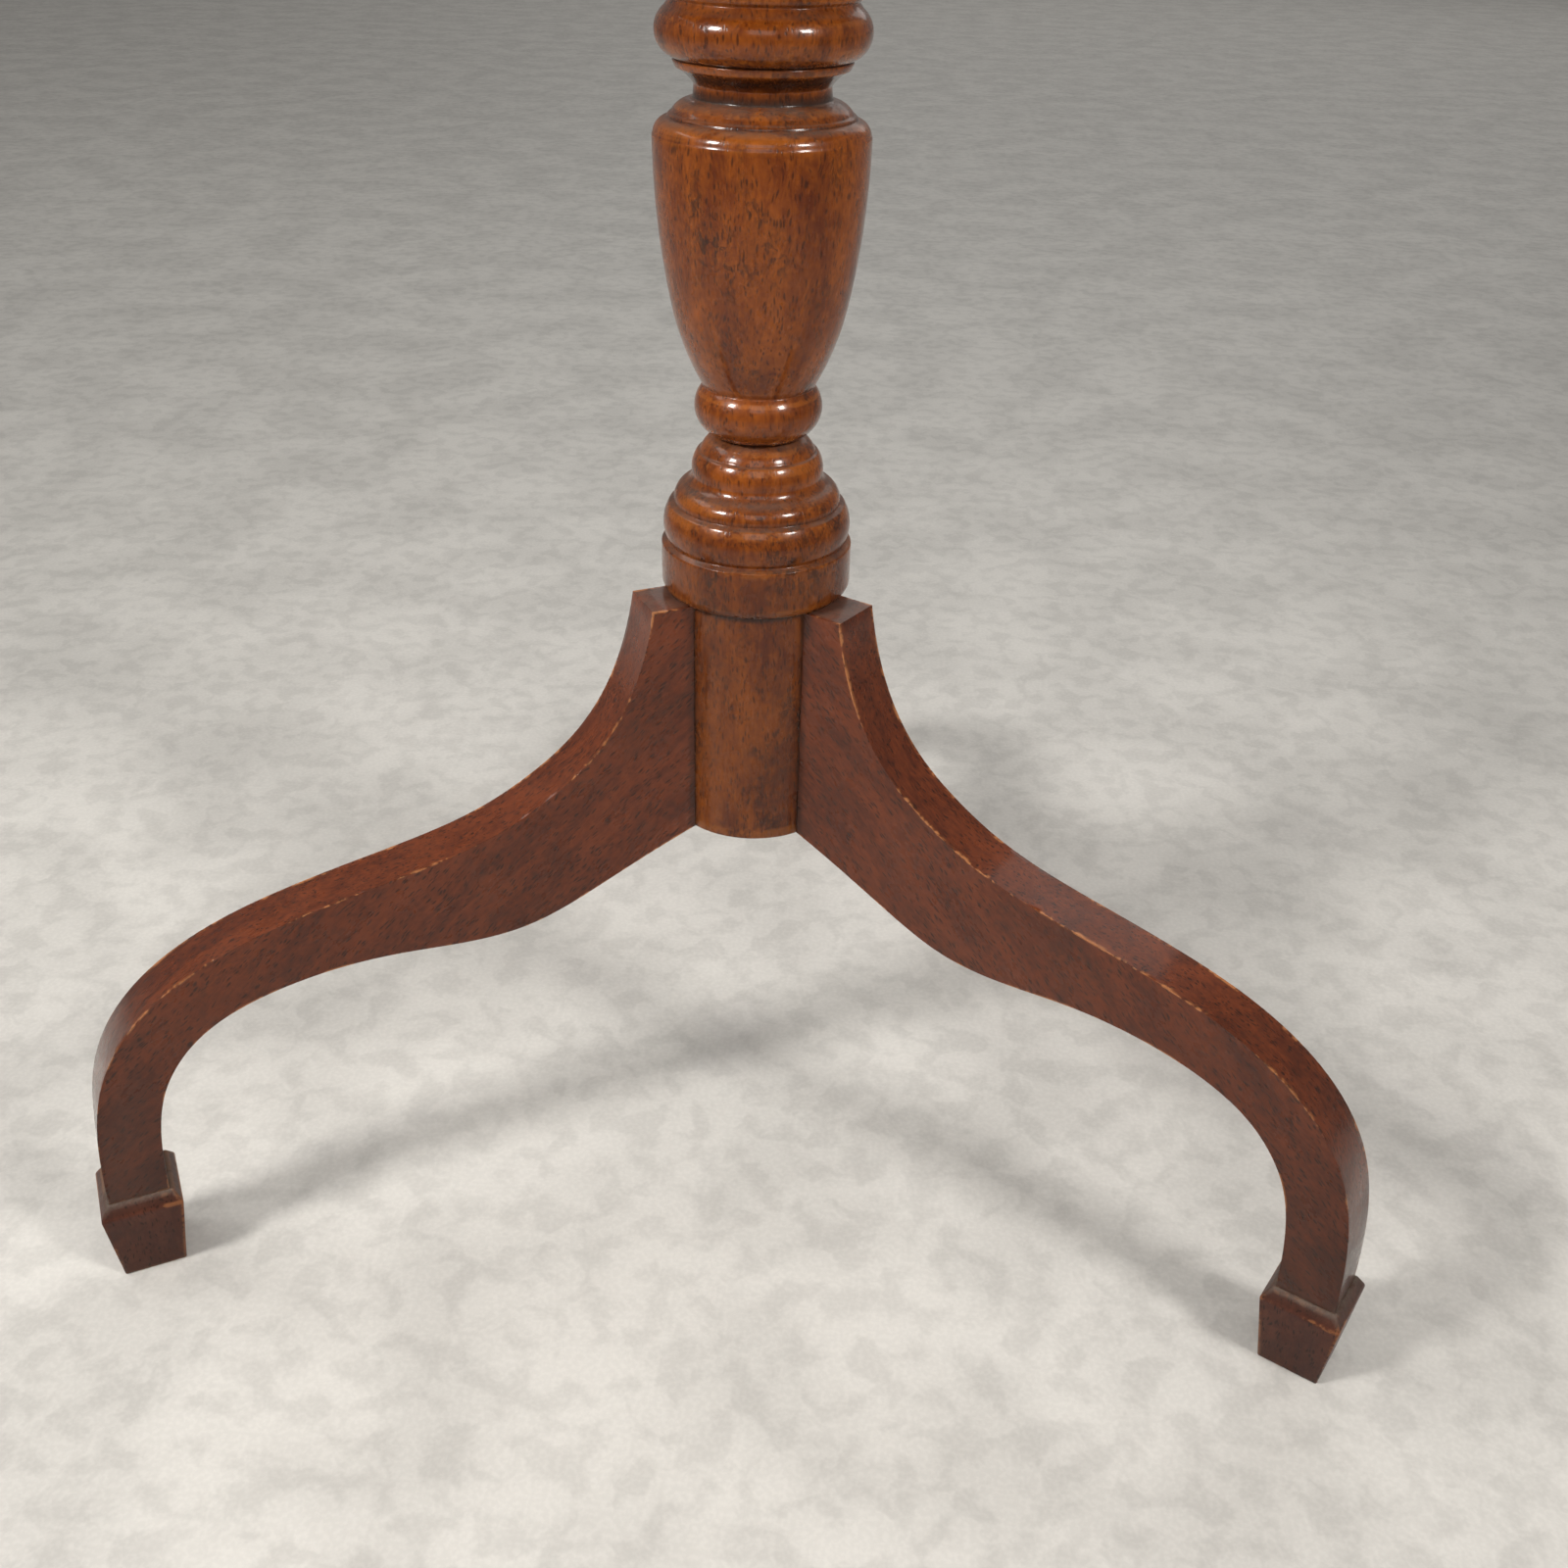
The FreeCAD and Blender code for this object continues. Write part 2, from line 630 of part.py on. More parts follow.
def make_top_block():
    """The block that the top tips on, its upper front edge rounded about the pivot."""
    body = new_body("top_block")
    side = new_sketch(body, "block_side", "YZ_Plane")
    quarter_swell = "Sizes.block_thickness / 2 * (1 - sqrt(0.5))"
    outline(side, [
        (BLOCK_FRONT, BLOCK_BOTTOM),
        (BLOCK_REAR, BLOCK_BOTTOM),
        (BLOCK_REAR, BLOCK_TOP),
        (PIVOT_LINE, BLOCK_TOP),
        (BLOCK_FRONT, PIVOT_HEIGHT),
    ], {3: (quarter_swell, "Sizes.block_thickness / 2")})
    pad(body, side, "Sizes.block_length", both_ways=True)
    bottom = number(BLOCK_BOTTOM)

    def is_bottom_edge(edge):
        return all(abs(vertex.Z - bottom) < 0.01 for vertex in edge.Vertexes)

    dress(body, "PartDesign::Chamfer", "Size", "Sizes.block_chamfer", is_bottom_edge)

    mortise = new_sketch(body, "tenon_mortise", "XY_Plane")
    circle(mortise, "0", "0", "Sizes.tenon_radius")
    pocket(body, mortise)
    for name, side_sign, reverse in (("left", "-", True), ("right", "", False)):
        end = f"{side_sign}Sizes.block_length / 2"
        hole = new_sketch(body, f"dowel_hole_{name}", "YZ_Plane", end)
        circle(hole, PIVOT_LINE, PIVOT_HEIGHT, "Sizes.pivot_radius")
        pocket(body, hole, "Sizes.dowel_seat", reverse=reverse)
    recess = new_sketch(body, "striker_recess", "XZ_Plane", BLOCK_REAR)
    striker_rectangle(recess)
    pocket(body, recess, "Sizes.striker_thickness", reverse=True)
    nose = new_sketch(body, "bolt_mortise", "XZ_Plane", BLOCK_REAR)
    window(nose)
    pocket(body, nose, "Sizes.bolt_mortise_depth", reverse=True)
    screws = new_sketch(body, "striker_screw_holes", "XZ_Plane", BLOCK_REAR)
    circles(screws, striker_screw_places(), "Sizes.screw_radius")
    pocket(body, screws, "Sizes.striker_screw_length", reverse=True)


def make_pivot_dowel(name, side_sign):
    """A dowel glued in one end of the block, on which a bearer turns."""
    body = new_body(f"pivot_dowel_{name}")
    seat = f"{side_sign}(Sizes.block_length / 2 - Sizes.dowel_seat)"
    length = f"{BEARER_OUTER} - Sizes.dowel_shy - Sizes.block_length / 2 + Sizes.dowel_seat"
    section = new_sketch(body, f"pivot_dowel_{name}_section", "YZ_Plane", seat)
    circle(section, PIVOT_LINE, PIVOT_HEIGHT, "Sizes.pivot_radius")
    pad(body, section, length, reverse=side_sign == "-")
    tip = number(f"{BEARER_OUTER} - Sizes.dowel_shy")

    def is_outer_rim(edge):
        return abs(abs(edge.CenterOfMass.x) - tip) < 0.01

    dress(body, "PartDesign::Chamfer", "Size", "Sizes.dowel_chamfer", is_outer_rim)


# Screws.

def circles(sketch, places, radius):
    """Draw a circle of one radius at each place."""
    for place_x, place_y in places:
        circle(sketch, place_x, place_y, radius)


def screw_slots(sketch, places):
    """Draw a driver slot across each screw's head."""
    for place_x, place_y in places:
        rectangle(
            sketch,
            f"{place_x} - Sizes.screw_head_radius", f"{place_x} + Sizes.screw_head_radius",
            f"{place_y} - Sizes.screw_slot_width / 2", f"{place_y} + Sizes.screw_slot_width / 2",
        )


def make_screws(name, places, role, level, length, inward):
    """A group of countersunk wood screws whose heads lie in one plane.

    inward is True where the screws point against the plane's normal.
    """
    body = new_body(name)
    body.AllowCompound = True
    shanks = new_sketch(body, f"{name}_shanks", role, level)
    circles(shanks, places, "Sizes.screw_radius")
    pad(body, shanks, length, reverse=inward)
    heads = new_sketch(body, f"{name}_heads", role, level)
    circles(heads, places, "Sizes.screw_head_radius")
    cone = pad(body, heads, "Sizes.screw_head_depth", reverse=inward)
    taper(body, cone, COUNTERSINK_TAPER)
    slots = new_sketch(body, f"{name}_slots", role, level)
    screw_slots(slots, places)
    pocket(body, slots, "Sizes.screw_slot_depth", reverse=not inward)


def countersinks(body, name, places, role, level, inward):
    """Cut the seats of countersunk screws in a piece's face."""
    sketch = new_sketch(body, f"{name}_sinks", role, level)
    circles(sketch, places, "Sizes.screw_head_radius")
    seat = pocket(body, sketch, "Sizes.screw_head_depth", reverse=not inward)
    taper(body, seat, COUNTERSINK_TAPER)


def striker_screw_places():
    """Places of the two striker screws on the block's rear face."""
    return [(f"{sign}Sizes.striker_screw_offset", STRIKER_MIDDLE) for sign in ("-", "")]


def latch_screw_places():
    """Places of the four latch screws, seen from above."""
    side = "(Sizes.latch_plate_width / 2 - Sizes.latch_screw_inset)"
    front = f"({LATCH_PLATE_FRONT} + Sizes.latch_screw_inset)"
    rear = f"({LATCH_PLATE_FRONT} + Sizes.latch_plate_length - Sizes.latch_screw_inset)"
    return [(f"{sign}{side}", line) for sign in ("-", "") for line in (front, rear)]


def bearer_screw_places(sides=("-", "")):
    """Places of the bearer screws, seen from above."""
    lines = [
        "-Sizes.bearer_screw_outer",
        "-Sizes.bearer_screw_inner",
        "Sizes.bearer_screw_inner",
        "Sizes.bearer_screw_outer",
    ]
    return [(f"{sign}{BEARER_MIDDLE}", line) for sign in sides for line in lines]


# Top.

def make_board(name, position):
    """One board of the round top: position is -1 in front, 0 in the middle, 1 behind."""
    body = new_body(f"board_{name}")
    edge = new_sketch(body, f"board_{name}_edge", "XZ_Plane")
    fillet_radius = "(Sizes.top_radius - Sizes.edge_fillet_inset)"
    fillet_bottom = "(Sizes.table_height - Sizes.edge_fillet_rise)"
    round_rise = f"{fillet_bottom} - {TOP_UNDERSIDE} - Sizes.edge_arris"
    round_inset = "(Sizes.top_radius - Sizes.edge_round_swell)"
    outline(edge, [
        ("0", TOP_UNDERSIDE),
        (f"{round_inset} - Sizes.edge_arris", TOP_UNDERSIDE),
        (round_inset, f"{TOP_UNDERSIDE} + Sizes.edge_arris"),
        (round_inset, fillet_bottom),
        (fillet_radius, fillet_bottom),
        (fillet_radius, "Sizes.table_height"),
        ("0", "Sizes.table_height"),
    ], {2: ("Sizes.edge_round_swell", arc_radius("0", round_rise, "Sizes.edge_round_swell"))})
    revolve(body, edge, "V_Axis")

    half = "Sizes.board_width / 2"
    reach = "Sizes.top_radius + Sizes.board_width"
    waste = new_sketch(body, f"board_{name}_waste", "XY_Plane")
    if position >= 0:
        front = half if position > 0 else f"-{half}"
        rectangle(waste, f"-({reach})", reach, f"-({reach})", front)
    if position <= 0:
        back = f"-{half}" if position < 0 else half
        rectangle(waste, f"-({reach})", reach, back, reach)
    pocket(body, waste)
    drill_board(body, name)


def drill_board(body, name):
    """Drill a board from below for the screws that fall in it."""
    for screws, places, depth in (
        ("bearer", bearer_screw_places(), "Sizes.bearer_screw_bite"),
        ("latch", latch_screw_places(), LATCH_SCREW_BITE),
    ):
        inside = [place for place in places if in_board(name, place)]
        if inside:
            holes = new_sketch(body, f"board_{name}_{screws}_holes", "XY_Plane", TOP_UNDERSIDE)
            circles(holes, inside, "Sizes.screw_radius")
            pocket(body, holes, depth, reverse=True)


def in_board(name, place):
    """Whether a place seen from above falls in a board."""
    line = number(place[1])
    half = number("Sizes.board_width / 2")
    if name == "front":
        return line < -half
    if name == "back":
        return line > half
    return abs(line) <= half


def make_bearer(name, side_sign):
    """A bearer screwed under the top, bored for its pivot dowel."""
    body = new_body(f"bearer_{name}")
    half = "Sizes.bearer_length / 2"
    nose = f"({TOP_UNDERSIDE} - Sizes.bearer_end_depth)"
    flat = f"({half} - Sizes.bearer_end_run)"
    rise = "(Sizes.bearer_depth - Sizes.bearer_end_depth)"
    bend = ("Sizes.bearer_end_swell * -1",
            arc_radius("Sizes.bearer_end_run", rise, "Sizes.bearer_end_swell"))
    side = new_sketch(body, f"bearer_{name}_side", "YZ_Plane", f"{side_sign}{BEARER_INNER}")
    outline(side, [
        (f"-{flat}", BEARER_BOTTOM),
        (flat, BEARER_BOTTOM),
        (half, nose),
        (half, TOP_UNDERSIDE),
        (f"-{half}", TOP_UNDERSIDE),
        (f"-{half}", nose),
    ], {1: bend, 5: bend})
    pad(body, side, "Sizes.bearer_width", reverse=side_sign == "-")

    pivot = new_sketch(body, f"bearer_{name}_pivot", "YZ_Plane")
    circle(pivot, PIVOT_LINE, PIVOT_HEIGHT, "Sizes.pivot_radius + Sizes.pivot_clearance")
    pocket(body, pivot)
    places = bearer_screw_places((side_sign,))
    bores = new_sketch(body, f"bearer_{name}_bores", "XY_Plane", BEARER_BOTTOM)
    circles(bores, places, "Sizes.bearer_screw_bore_radius")
    pocket(body, bores, "Sizes.bearer_screw_bore_depth", reverse=True)
    shanks = new_sketch(body, f"bearer_{name}_shanks", "XY_Plane", BEARER_SCREW_SEAT)
    circles(shanks, places, "Sizes.screw_radius")
    pocket(body, shanks, "Sizes.bearer_depth", reverse=True)
    countersinks(body, f"bearer_{name}", places, "XY_Plane", BEARER_SCREW_SEAT, False)


# Latch.

LATCH_SCREW_BITE = "(Sizes.latch_screw_length - Sizes.latch_plate_thickness)"


def striker_rectangle(sketch):
    """Draw the striker plate on the block's rear face."""
    half = "Sizes.striker_height / 2"
    rectangle(sketch, "-Sizes.striker_width / 2", "Sizes.striker_width / 2",
              f"{STRIKER_MIDDLE} - {half}", f"{STRIKER_MIDDLE} + {half}")


def window(sketch):
    """Draw the window that the bolt's nose enters."""
    rectangle(sketch, f"-{WINDOW_HALF_WIDTH}", WINDOW_HALF_WIDTH,
              f"{BOLT_MIDDLE} - {WINDOW_HALF_HEIGHT}", f"{BOLT_MIDDLE} + {WINDOW_HALF_HEIGHT}")


def make_striker_plate():
    """The brass plate let into the block's rear face, with a window for the bolt."""
    body = new_body("striker_plate")
    face = new_sketch(body, "striker_face", "XZ_Plane", BLOCK_REAR)
    striker_rectangle(face)
    pad(body, face, "Sizes.striker_thickness")
    opening = new_sketch(body, "striker_window", "XZ_Plane", BLOCK_REAR)
    window(opening)
    pocket(body, opening)
    countersinks(body, "striker", striker_screw_places(), "XZ_Plane", BLOCK_REAR, False)


def make_latch_plate():
    """The brass plate under the top that carries the latch."""
    body = new_body("latch_plate")
    face = new_sketch(body, "latch_plate_face", "XY_Plane", LATCH_PLATE_BOTTOM)
    rectangle(face, "-Sizes.latch_plate_width / 2", "Sizes.latch_plate_width / 2",
              LATCH_PLATE_FRONT, f"{LATCH_PLATE_FRONT} + Sizes.latch_plate_length")
    pad(body, face, "Sizes.latch_plate_thickness")
    countersinks(body, "latch", latch_screw_places(), "XY_Plane", LATCH_PLATE_BOTTOM, False)


def make_latch_case():
    """The cast brass case: a channel for the bolt and spring, and a slot for the knob."""
    body = new_body("latch_case")
    shell = new_sketch(body, "case_outline", "XY_Plane", CASE_BOTTOM)
    rectangle(shell, "-Sizes.case_width / 2", "Sizes.case_width / 2",
              CASE_FRONT, f"{CASE_FRONT} + Sizes.case_length")
    pad(body, shell, "Sizes.case_height")
    bottom = number(CASE_BOTTOM)

    def is_lower_or_upright(edge):
        low = all(abs(vertex.Z - bottom) < 0.01 for vertex in edge.Vertexes)
        return low or is_line_along(edge, 2)

    dress(body, "PartDesign::Fillet", "Radius", "Sizes.case_rounding", is_lower_or_upright)

    half_width = "(Sizes.bolt_width / 2 + Sizes.bolt_clearance)"
    half_height = "(Sizes.bolt_height / 2 + Sizes.bolt_clearance)"
    channel = new_sketch(body, "bolt_channel", "XZ_Plane", CHANNEL_END)
    rectangle(channel, f"-{half_width}", half_width,
              f"{BOLT_MIDDLE} - {half_height}", f"{BOLT_MIDDLE} + {half_height}")
    pocket(body, channel, f"{CHANNEL_END} - {CASE_FRONT}", reverse=True)
    slot = new_sketch(body, "knob_slot", "XY_Plane", CASE_BOTTOM)
    half_slot = "(Sizes.knob_stem_radius + Sizes.knob_stem_clearance)"
    rectangle(slot, f"-{half_slot}", half_slot, f"{KNOB_LINE} - {half_slot}",
              f"{KNOB_LINE} + Sizes.bolt_travel + {half_slot}")
    pocket(body, slot, f"{BOLT_MIDDLE} - {CASE_BOTTOM}", reverse=True)


def make_latch_bolt():
    """The sliding bolt, bevelled underneath so that it rides over the block's edge."""
    body = new_body("latch_bolt")
    low = f"{BOLT_MIDDLE} - Sizes.bolt_height / 2"
    high = f"{BOLT_MIDDLE} + Sizes.bolt_height / 2"
    side = new_sketch(body, "bolt_side", "YZ_Plane")
    outline(side, [
        (f"{BOLT_NOSE} + Sizes.nose_bevel", low),
        (BOLT_TAIL, low),
        (BOLT_TAIL, high),
        (BOLT_NOSE, high),
        (BOLT_NOSE, f"{low} + Sizes.nose_bevel"),
    ])
    pad(body, side, "Sizes.bolt_width", both_ways=True)
    tap = new_sketch(body, "knob_hole", "XY_Plane", low)
    circle(tap, "0", KNOB_LINE, "Sizes.knob_stem_radius")
    pocket(body, tap, "Sizes.knob_stem_bite", reverse=True)


def make_latch_knob():
    """The turned brass knob that hangs from the bolt."""
    body = new_body("latch_knob")
    turning = new_sketch(body, "knob_outline", "XZ_Plane", KNOB_LINE)
    stem_top = f"({BOLT_MIDDLE} - Sizes.bolt_height / 2 + Sizes.knob_stem_bite)"
    collar_top = f"({CASE_BOTTOM} - Sizes.knob_drop)"
    collar_bottom = f"({collar_top} - 2)"
    ball_top = f"({collar_bottom} - 3)"
    ball_bottom = f"({ball_top} - Sizes.knob_radius * 1.5)"
    ball_run = "Sizes.knob_neck_radius"
    ball_swell = "(Sizes.knob_radius - Sizes.knob_neck_radius / 2)"
    outline(turning, [
        ("0", ball_bottom),
        ("Sizes.knob_neck_radius", ball_top),
        ("Sizes.knob_neck_radius", collar_bottom),
        ("Sizes.knob_collar_radius", collar_bottom),
        ("Sizes.knob_collar_radius", collar_top),
        ("Sizes.knob_stem_radius", collar_top),
        ("Sizes.knob_stem_radius", stem_top),
        ("0", stem_top),
    ], {0: (ball_swell, arc_radius(ball_run, "Sizes.knob_radius * 1.5", ball_swell))})
    revolve(body, turning, "V_Axis")


def make_latch_spring():
    """The compression spring behind the bolt."""
    helix = DOC.addObject("Part::Helix", "spring_helix")
    coil_length = "(Sizes.spring_length - Sizes.spring_wire_radius * 2)"
    helix.setExpression("Height", coil_length)
    helix.setExpression("Pitch", f"{coil_length} / Sizes.spring_turns")
    helix.setExpression("Radius", "Sizes.spring_radius")
    wire = DOC.addObject("Part::Circle", "spring_wire")
    wire.setExpression("Radius", "Sizes.spring_wire_radius")
    wire.setExpression("Placement.Base.x", "Sizes.spring_radius")
    wire.Placement.Rotation = FreeCAD.Rotation(Vector(1, 0, 0), 90)
    spring = DOC.addObject("Part::Sweep", "latch_spring")
    spring.Label = "latch_spring"
    spring.Sections = [wire]
    DOC.recompute()
    edges = [f"Edge{n}" for n in range(1, len(helix.Shape.Edges) + 1)]
    spring.Spine = (helix, edges)
    spring.Solid = True
    spring.Frenet = True
    spring.Placement.Rotation = FreeCAD.Rotation(Vector(1, 0, 0), -90)
    spring.setExpression("Placement.Base.y", f"{BOLT_TAIL} + Sizes.spring_wire_radius")
    spring.setExpression("Placement.Base.z", BOLT_MIDDLE)
    return spring


def make_all():
    """Build every piece, and return the objects that become files."""
    fill_sheet()
    make_column()
    make_tenon_wedges()
    for name, angle in LEG_ANGLES.items():
        make_leg(name, angle)
        make_foot(name, angle)
    make_top_block()
    for name, side_sign in (("left", "-"), ("right", "")):
        make_pivot_dowel(name, side_sign)
        make_bearer(name, side_sign)
    for position, name in enumerate(("front", "centre", "back"), start=-1):
        make_board(name, position)
    make_screws("bearer_screws", bearer_screw_places(), "XY_Plane", BEARER_SCREW_SEAT,
                BEARER_SCREW_LENGTH, False)
    make_striker_plate()
    make_screws("striker_screws", striker_screw_places(), "XZ_Plane", BLOCK_REAR,
                "Sizes.striker_screw_length", False)
    make_latch_plate()
    make_latch_case()
    make_screws("latch_screws", latch_screw_places(), "XY_Plane", LATCH_PLATE_BOTTOM,
                "Sizes.latch_screw_length", False)
    make_latch_bolt()
    make_latch_knob()
    spring = make_latch_spring()
    DOC.recompute()
    bodies = [item for item in DOC.Objects if item.TypeId == "PartDesign::Body"]
    return bodies + [spring]


def check_all(pieces):
    """Stop if any object failed or any piece's shape is missing or invalid."""
    for item in DOC.Objects:
        faults = {"Invalid", "Error"} & set(item.State)
        if faults:
            raise RuntimeError(f"{item.Name} is {', '.join(sorted(faults))}")
    for piece in pieces:
        if piece.Shape.isNull() or not piece.Shape.isValid() or not piece.Shape.Solids:
            raise RuntimeError(f"{piece.Label} has no valid solid")


def export(pieces):
    """Write each piece to its own file."""
    os.makedirs("parts", exist_ok=True)
    for piece in pieces:
        piece.Shape.exportStep(f"parts/{piece.Label}.step")
        print(f"{piece.Label}: {len(piece.Shape.Solids)} solid(s), {piece.Shape.Volume:.0f} mm3")


PIECES = make_all()
check_all(PIECES)
export(PIECES)
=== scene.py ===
"""Looks of a tilt top tripod table: polished mahogany, aged brass and old steel.

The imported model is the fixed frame. The turned column, the sabre legs and the spade feet
are modelled again here with softened, worn edges. The top, the block, the bearers, the
dowels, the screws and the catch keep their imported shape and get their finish.
"""

import logging
import math
from collections.abc import Callable, Iterable, Sequence
from dataclasses import dataclass
from enum import Enum

import bmesh
import bpy
from bmesh.types import BMesh, BMFace, BMVert
from mathutils import Matrix, Vector, noise


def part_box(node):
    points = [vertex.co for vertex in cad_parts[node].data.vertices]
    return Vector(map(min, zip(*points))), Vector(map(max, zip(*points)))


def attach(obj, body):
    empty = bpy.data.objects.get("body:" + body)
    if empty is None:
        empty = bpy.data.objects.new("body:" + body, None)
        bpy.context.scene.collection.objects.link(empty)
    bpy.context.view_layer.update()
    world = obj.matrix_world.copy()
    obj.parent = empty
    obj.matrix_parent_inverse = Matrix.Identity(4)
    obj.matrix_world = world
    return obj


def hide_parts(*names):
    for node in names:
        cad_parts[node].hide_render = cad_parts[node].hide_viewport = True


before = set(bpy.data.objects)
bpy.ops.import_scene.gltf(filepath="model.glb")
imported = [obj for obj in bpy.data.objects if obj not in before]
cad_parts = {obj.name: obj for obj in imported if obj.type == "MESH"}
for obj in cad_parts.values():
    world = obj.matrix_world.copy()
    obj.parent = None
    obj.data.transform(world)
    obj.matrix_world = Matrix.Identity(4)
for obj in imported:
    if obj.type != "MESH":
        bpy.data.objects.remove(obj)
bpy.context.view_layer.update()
LOG = logging.getLogger("table")
MM = 0.001

# Millimetres and degrees that more than one piece shares.
DRUM_RADIUS = 36.3
LEG_THICKNESS = 25.0
FOOT_REACH = 294.7
FOOT_HEIGHT = 42.0
LEG_ANGLES = {"back": 90.0, "left": 210.0, "right": 330.0}

# Places of the colour sockets on a Mix node, and of the new ends on a Map Range node.
MIX_FACTOR, MIX_FIRST, MIX_SECOND, MIX_RESULT = 0, 6, 7, 2
RANGE_LOW, RANGE_HIGH = 3, 4

Colour = tuple[float, float, float]
Socket = bpy.types.NodeSocket


class Mask(Enum):
    """The vertex attributes that the finishes read."""

    GRAIN = "grain_space"
    EDGE = "edge"
    RECESS = "recess"
    # Painted shade in the column's grooves, beside the legs and low on the legs, with dark joint
    # lines, and darker lower parts of the column and feet.
    SHADE_AND_DARK = "smoke"


# ---------------------------------------------------------------- node tools


class Bench:
    """Puts nodes in one tree and wires them."""

    def __init__(self, tree: bpy.types.NodeTree) -> None:
        """Work on a tree.

        Args:
            tree: the node tree of a material or a group.
        """
        self.tree = tree

    def put(self, kind: str, *inputs: object, **settings: object) -> bpy.types.Node:
        """Add a node, set its properties and fill its inputs in order.

        Args:
            kind: the node's type.
            *inputs: a socket to link, a value to set, or None to leave an input alone.
            **settings: properties of the node.

        Returns:
            The new node.
        """
        made = self.tree.nodes.new(kind)
        for name, value in settings.items():
            setattr(made, name, value)
        for target, source in zip(made.inputs, inputs):
            self.feed(target, source)
        return made

    def feed(self, target: Socket, source: object) -> None:
        """Link a socket to an input, or set its value.

        Args:
            target: the input to fill.
            source: a socket to link, a value to set, or None to leave the input alone.
        """
        if isinstance(source, bpy.types.NodeSocket):
            self.tree.links.new(source, target)
        elif isinstance(source, tuple) and target.type == "RGBA":
            target.default_value = (*source, 1.0)
        elif source is not None:
            target.default_value = source

    def math(self, operation: str, first: object, second: object = None) -> Socket:
        """The result of a Math node, clamped to 0 and 1."""
        return self.put("ShaderNodeMath", first, second, operation=operation,
                        use_clamp=True).outputs[0]

    def scaled(self, vector: Socket, scale: tuple[float, float, float]) -> Socket:
        """A vector multiplied by three factors."""
        return self.put("ShaderNodeVectorMath", vector, scale, operation="MULTIPLY").outputs[0]

    def noise(self, vector: Socket, scale: tuple[float, float, float], detail: float = 2.0,
              warp: float = 0.0) -> Socket:
        """Smooth noise with its own frequency along each axis.

        Args:
            vector: where it is read.
            scale: frequency along each axis, per metre.
            detail: octaves of finer noise.
            warp: how far the noise is bent by itself.

        Returns:
            The noise, about 0 to 1.
        """
        made = self.put("ShaderNodeTexNoise", self.scaled(vector, scale))
        made.inputs["Scale"].default_value = 1.0
        made.inputs["Detail"].default_value = detail
        made.inputs["Distortion"].default_value = warp
        return made.outputs[0]

    def cells(self, vector: Socket, scale: tuple[float, float, float]) -> bpy.types.Node:
        """Voronoi cells with their own frequency along each axis.

        Args:
            vector: where they are read.
            scale: frequency along each axis, per metre.

        Returns:
            The Voronoi node.
        """
        made = self.put("ShaderNodeTexVoronoi", self.scaled(vector, scale))
        made.inputs["Scale"].default_value = 1.0
        return made

    def step(self, value: Socket, low: float, high: float) -> Socket:
        """A smooth step from 0 at low to 1 at high.

        Args:
            value: the socket that steps.
            low, high: where it is 0 and where it is 1; high may be the lesser.

        Returns:
            The stepped value.
        """
        flipped = high < low
        ends = (1.0, 0.0) if flipped else (0.0, 1.0)
        return self.put("ShaderNodeMapRange", value, min(low, high), max(low, high), *ends,
                        interpolation_type="SMOOTHSTEP").outputs[0]

    def blend(self, factor: object, first: object, second: object,
              kind: str = "MIX") -> Socket:
        """Two colours mixed by a factor.

        Args:
            factor: share of the second colour, 0 to 1.
            first, second: the colours.
            kind: the Mix node's way of blending.

        Returns:
            The mixed colour.
        """
        made = self.put("ShaderNodeMix", data_type="RGBA", blend_type=kind)
        self.feed(made.inputs[MIX_FACTOR], factor)
        self.feed(made.inputs[MIX_FIRST], first)
        self.feed(made.inputs[MIX_SECOND], second)
        return made.outputs[MIX_RESULT]

    def use(self, group: bpy.types.NodeTree, **inputs: object) -> bpy.types.Node:
        """Place a node group and fill its inputs by name.

        Args:
            group: the group.
            **inputs: a socket or a value for each input, spaces written as _.

        Returns:
            The group's node.
        """
        made = self.tree.nodes.new("ShaderNodeGroup")
        made.node_tree = group
        for name, source in inputs.items():
            self.feed(made.inputs[name.replace("_", " ")], source)
        return made


class Port(Enum):
    """Kinds of socket on a node group."""

    COLOUR = "NodeSocketColor"
    VALUE = "NodeSocketFloat"
    VECTOR = "NodeSocketVector"


def new_group(name: str, inputs: dict[str, Port],
              outputs: dict[str, Port]) -> tuple[Bench, bpy.types.Node, bpy.types.Node]:
    """Start a shader node group.

    Args:
        name: the group's name.
        inputs: its input sockets.
        outputs: its output sockets.

    Returns:
        A bench on the group, its input node and its output node.
    """
    tree = bpy.data.node_groups.new(name, "ShaderNodeTree")
    for direction, ports in (("INPUT", inputs), ("OUTPUT", outputs)):
        for label, port in ports.items():
            tree.interface.new_socket(label, in_out=direction, socket_type=port.value)
    bench = Bench(tree)
    return bench, bench.put("NodeGroupInput"), bench.put("NodeGroupOutput")


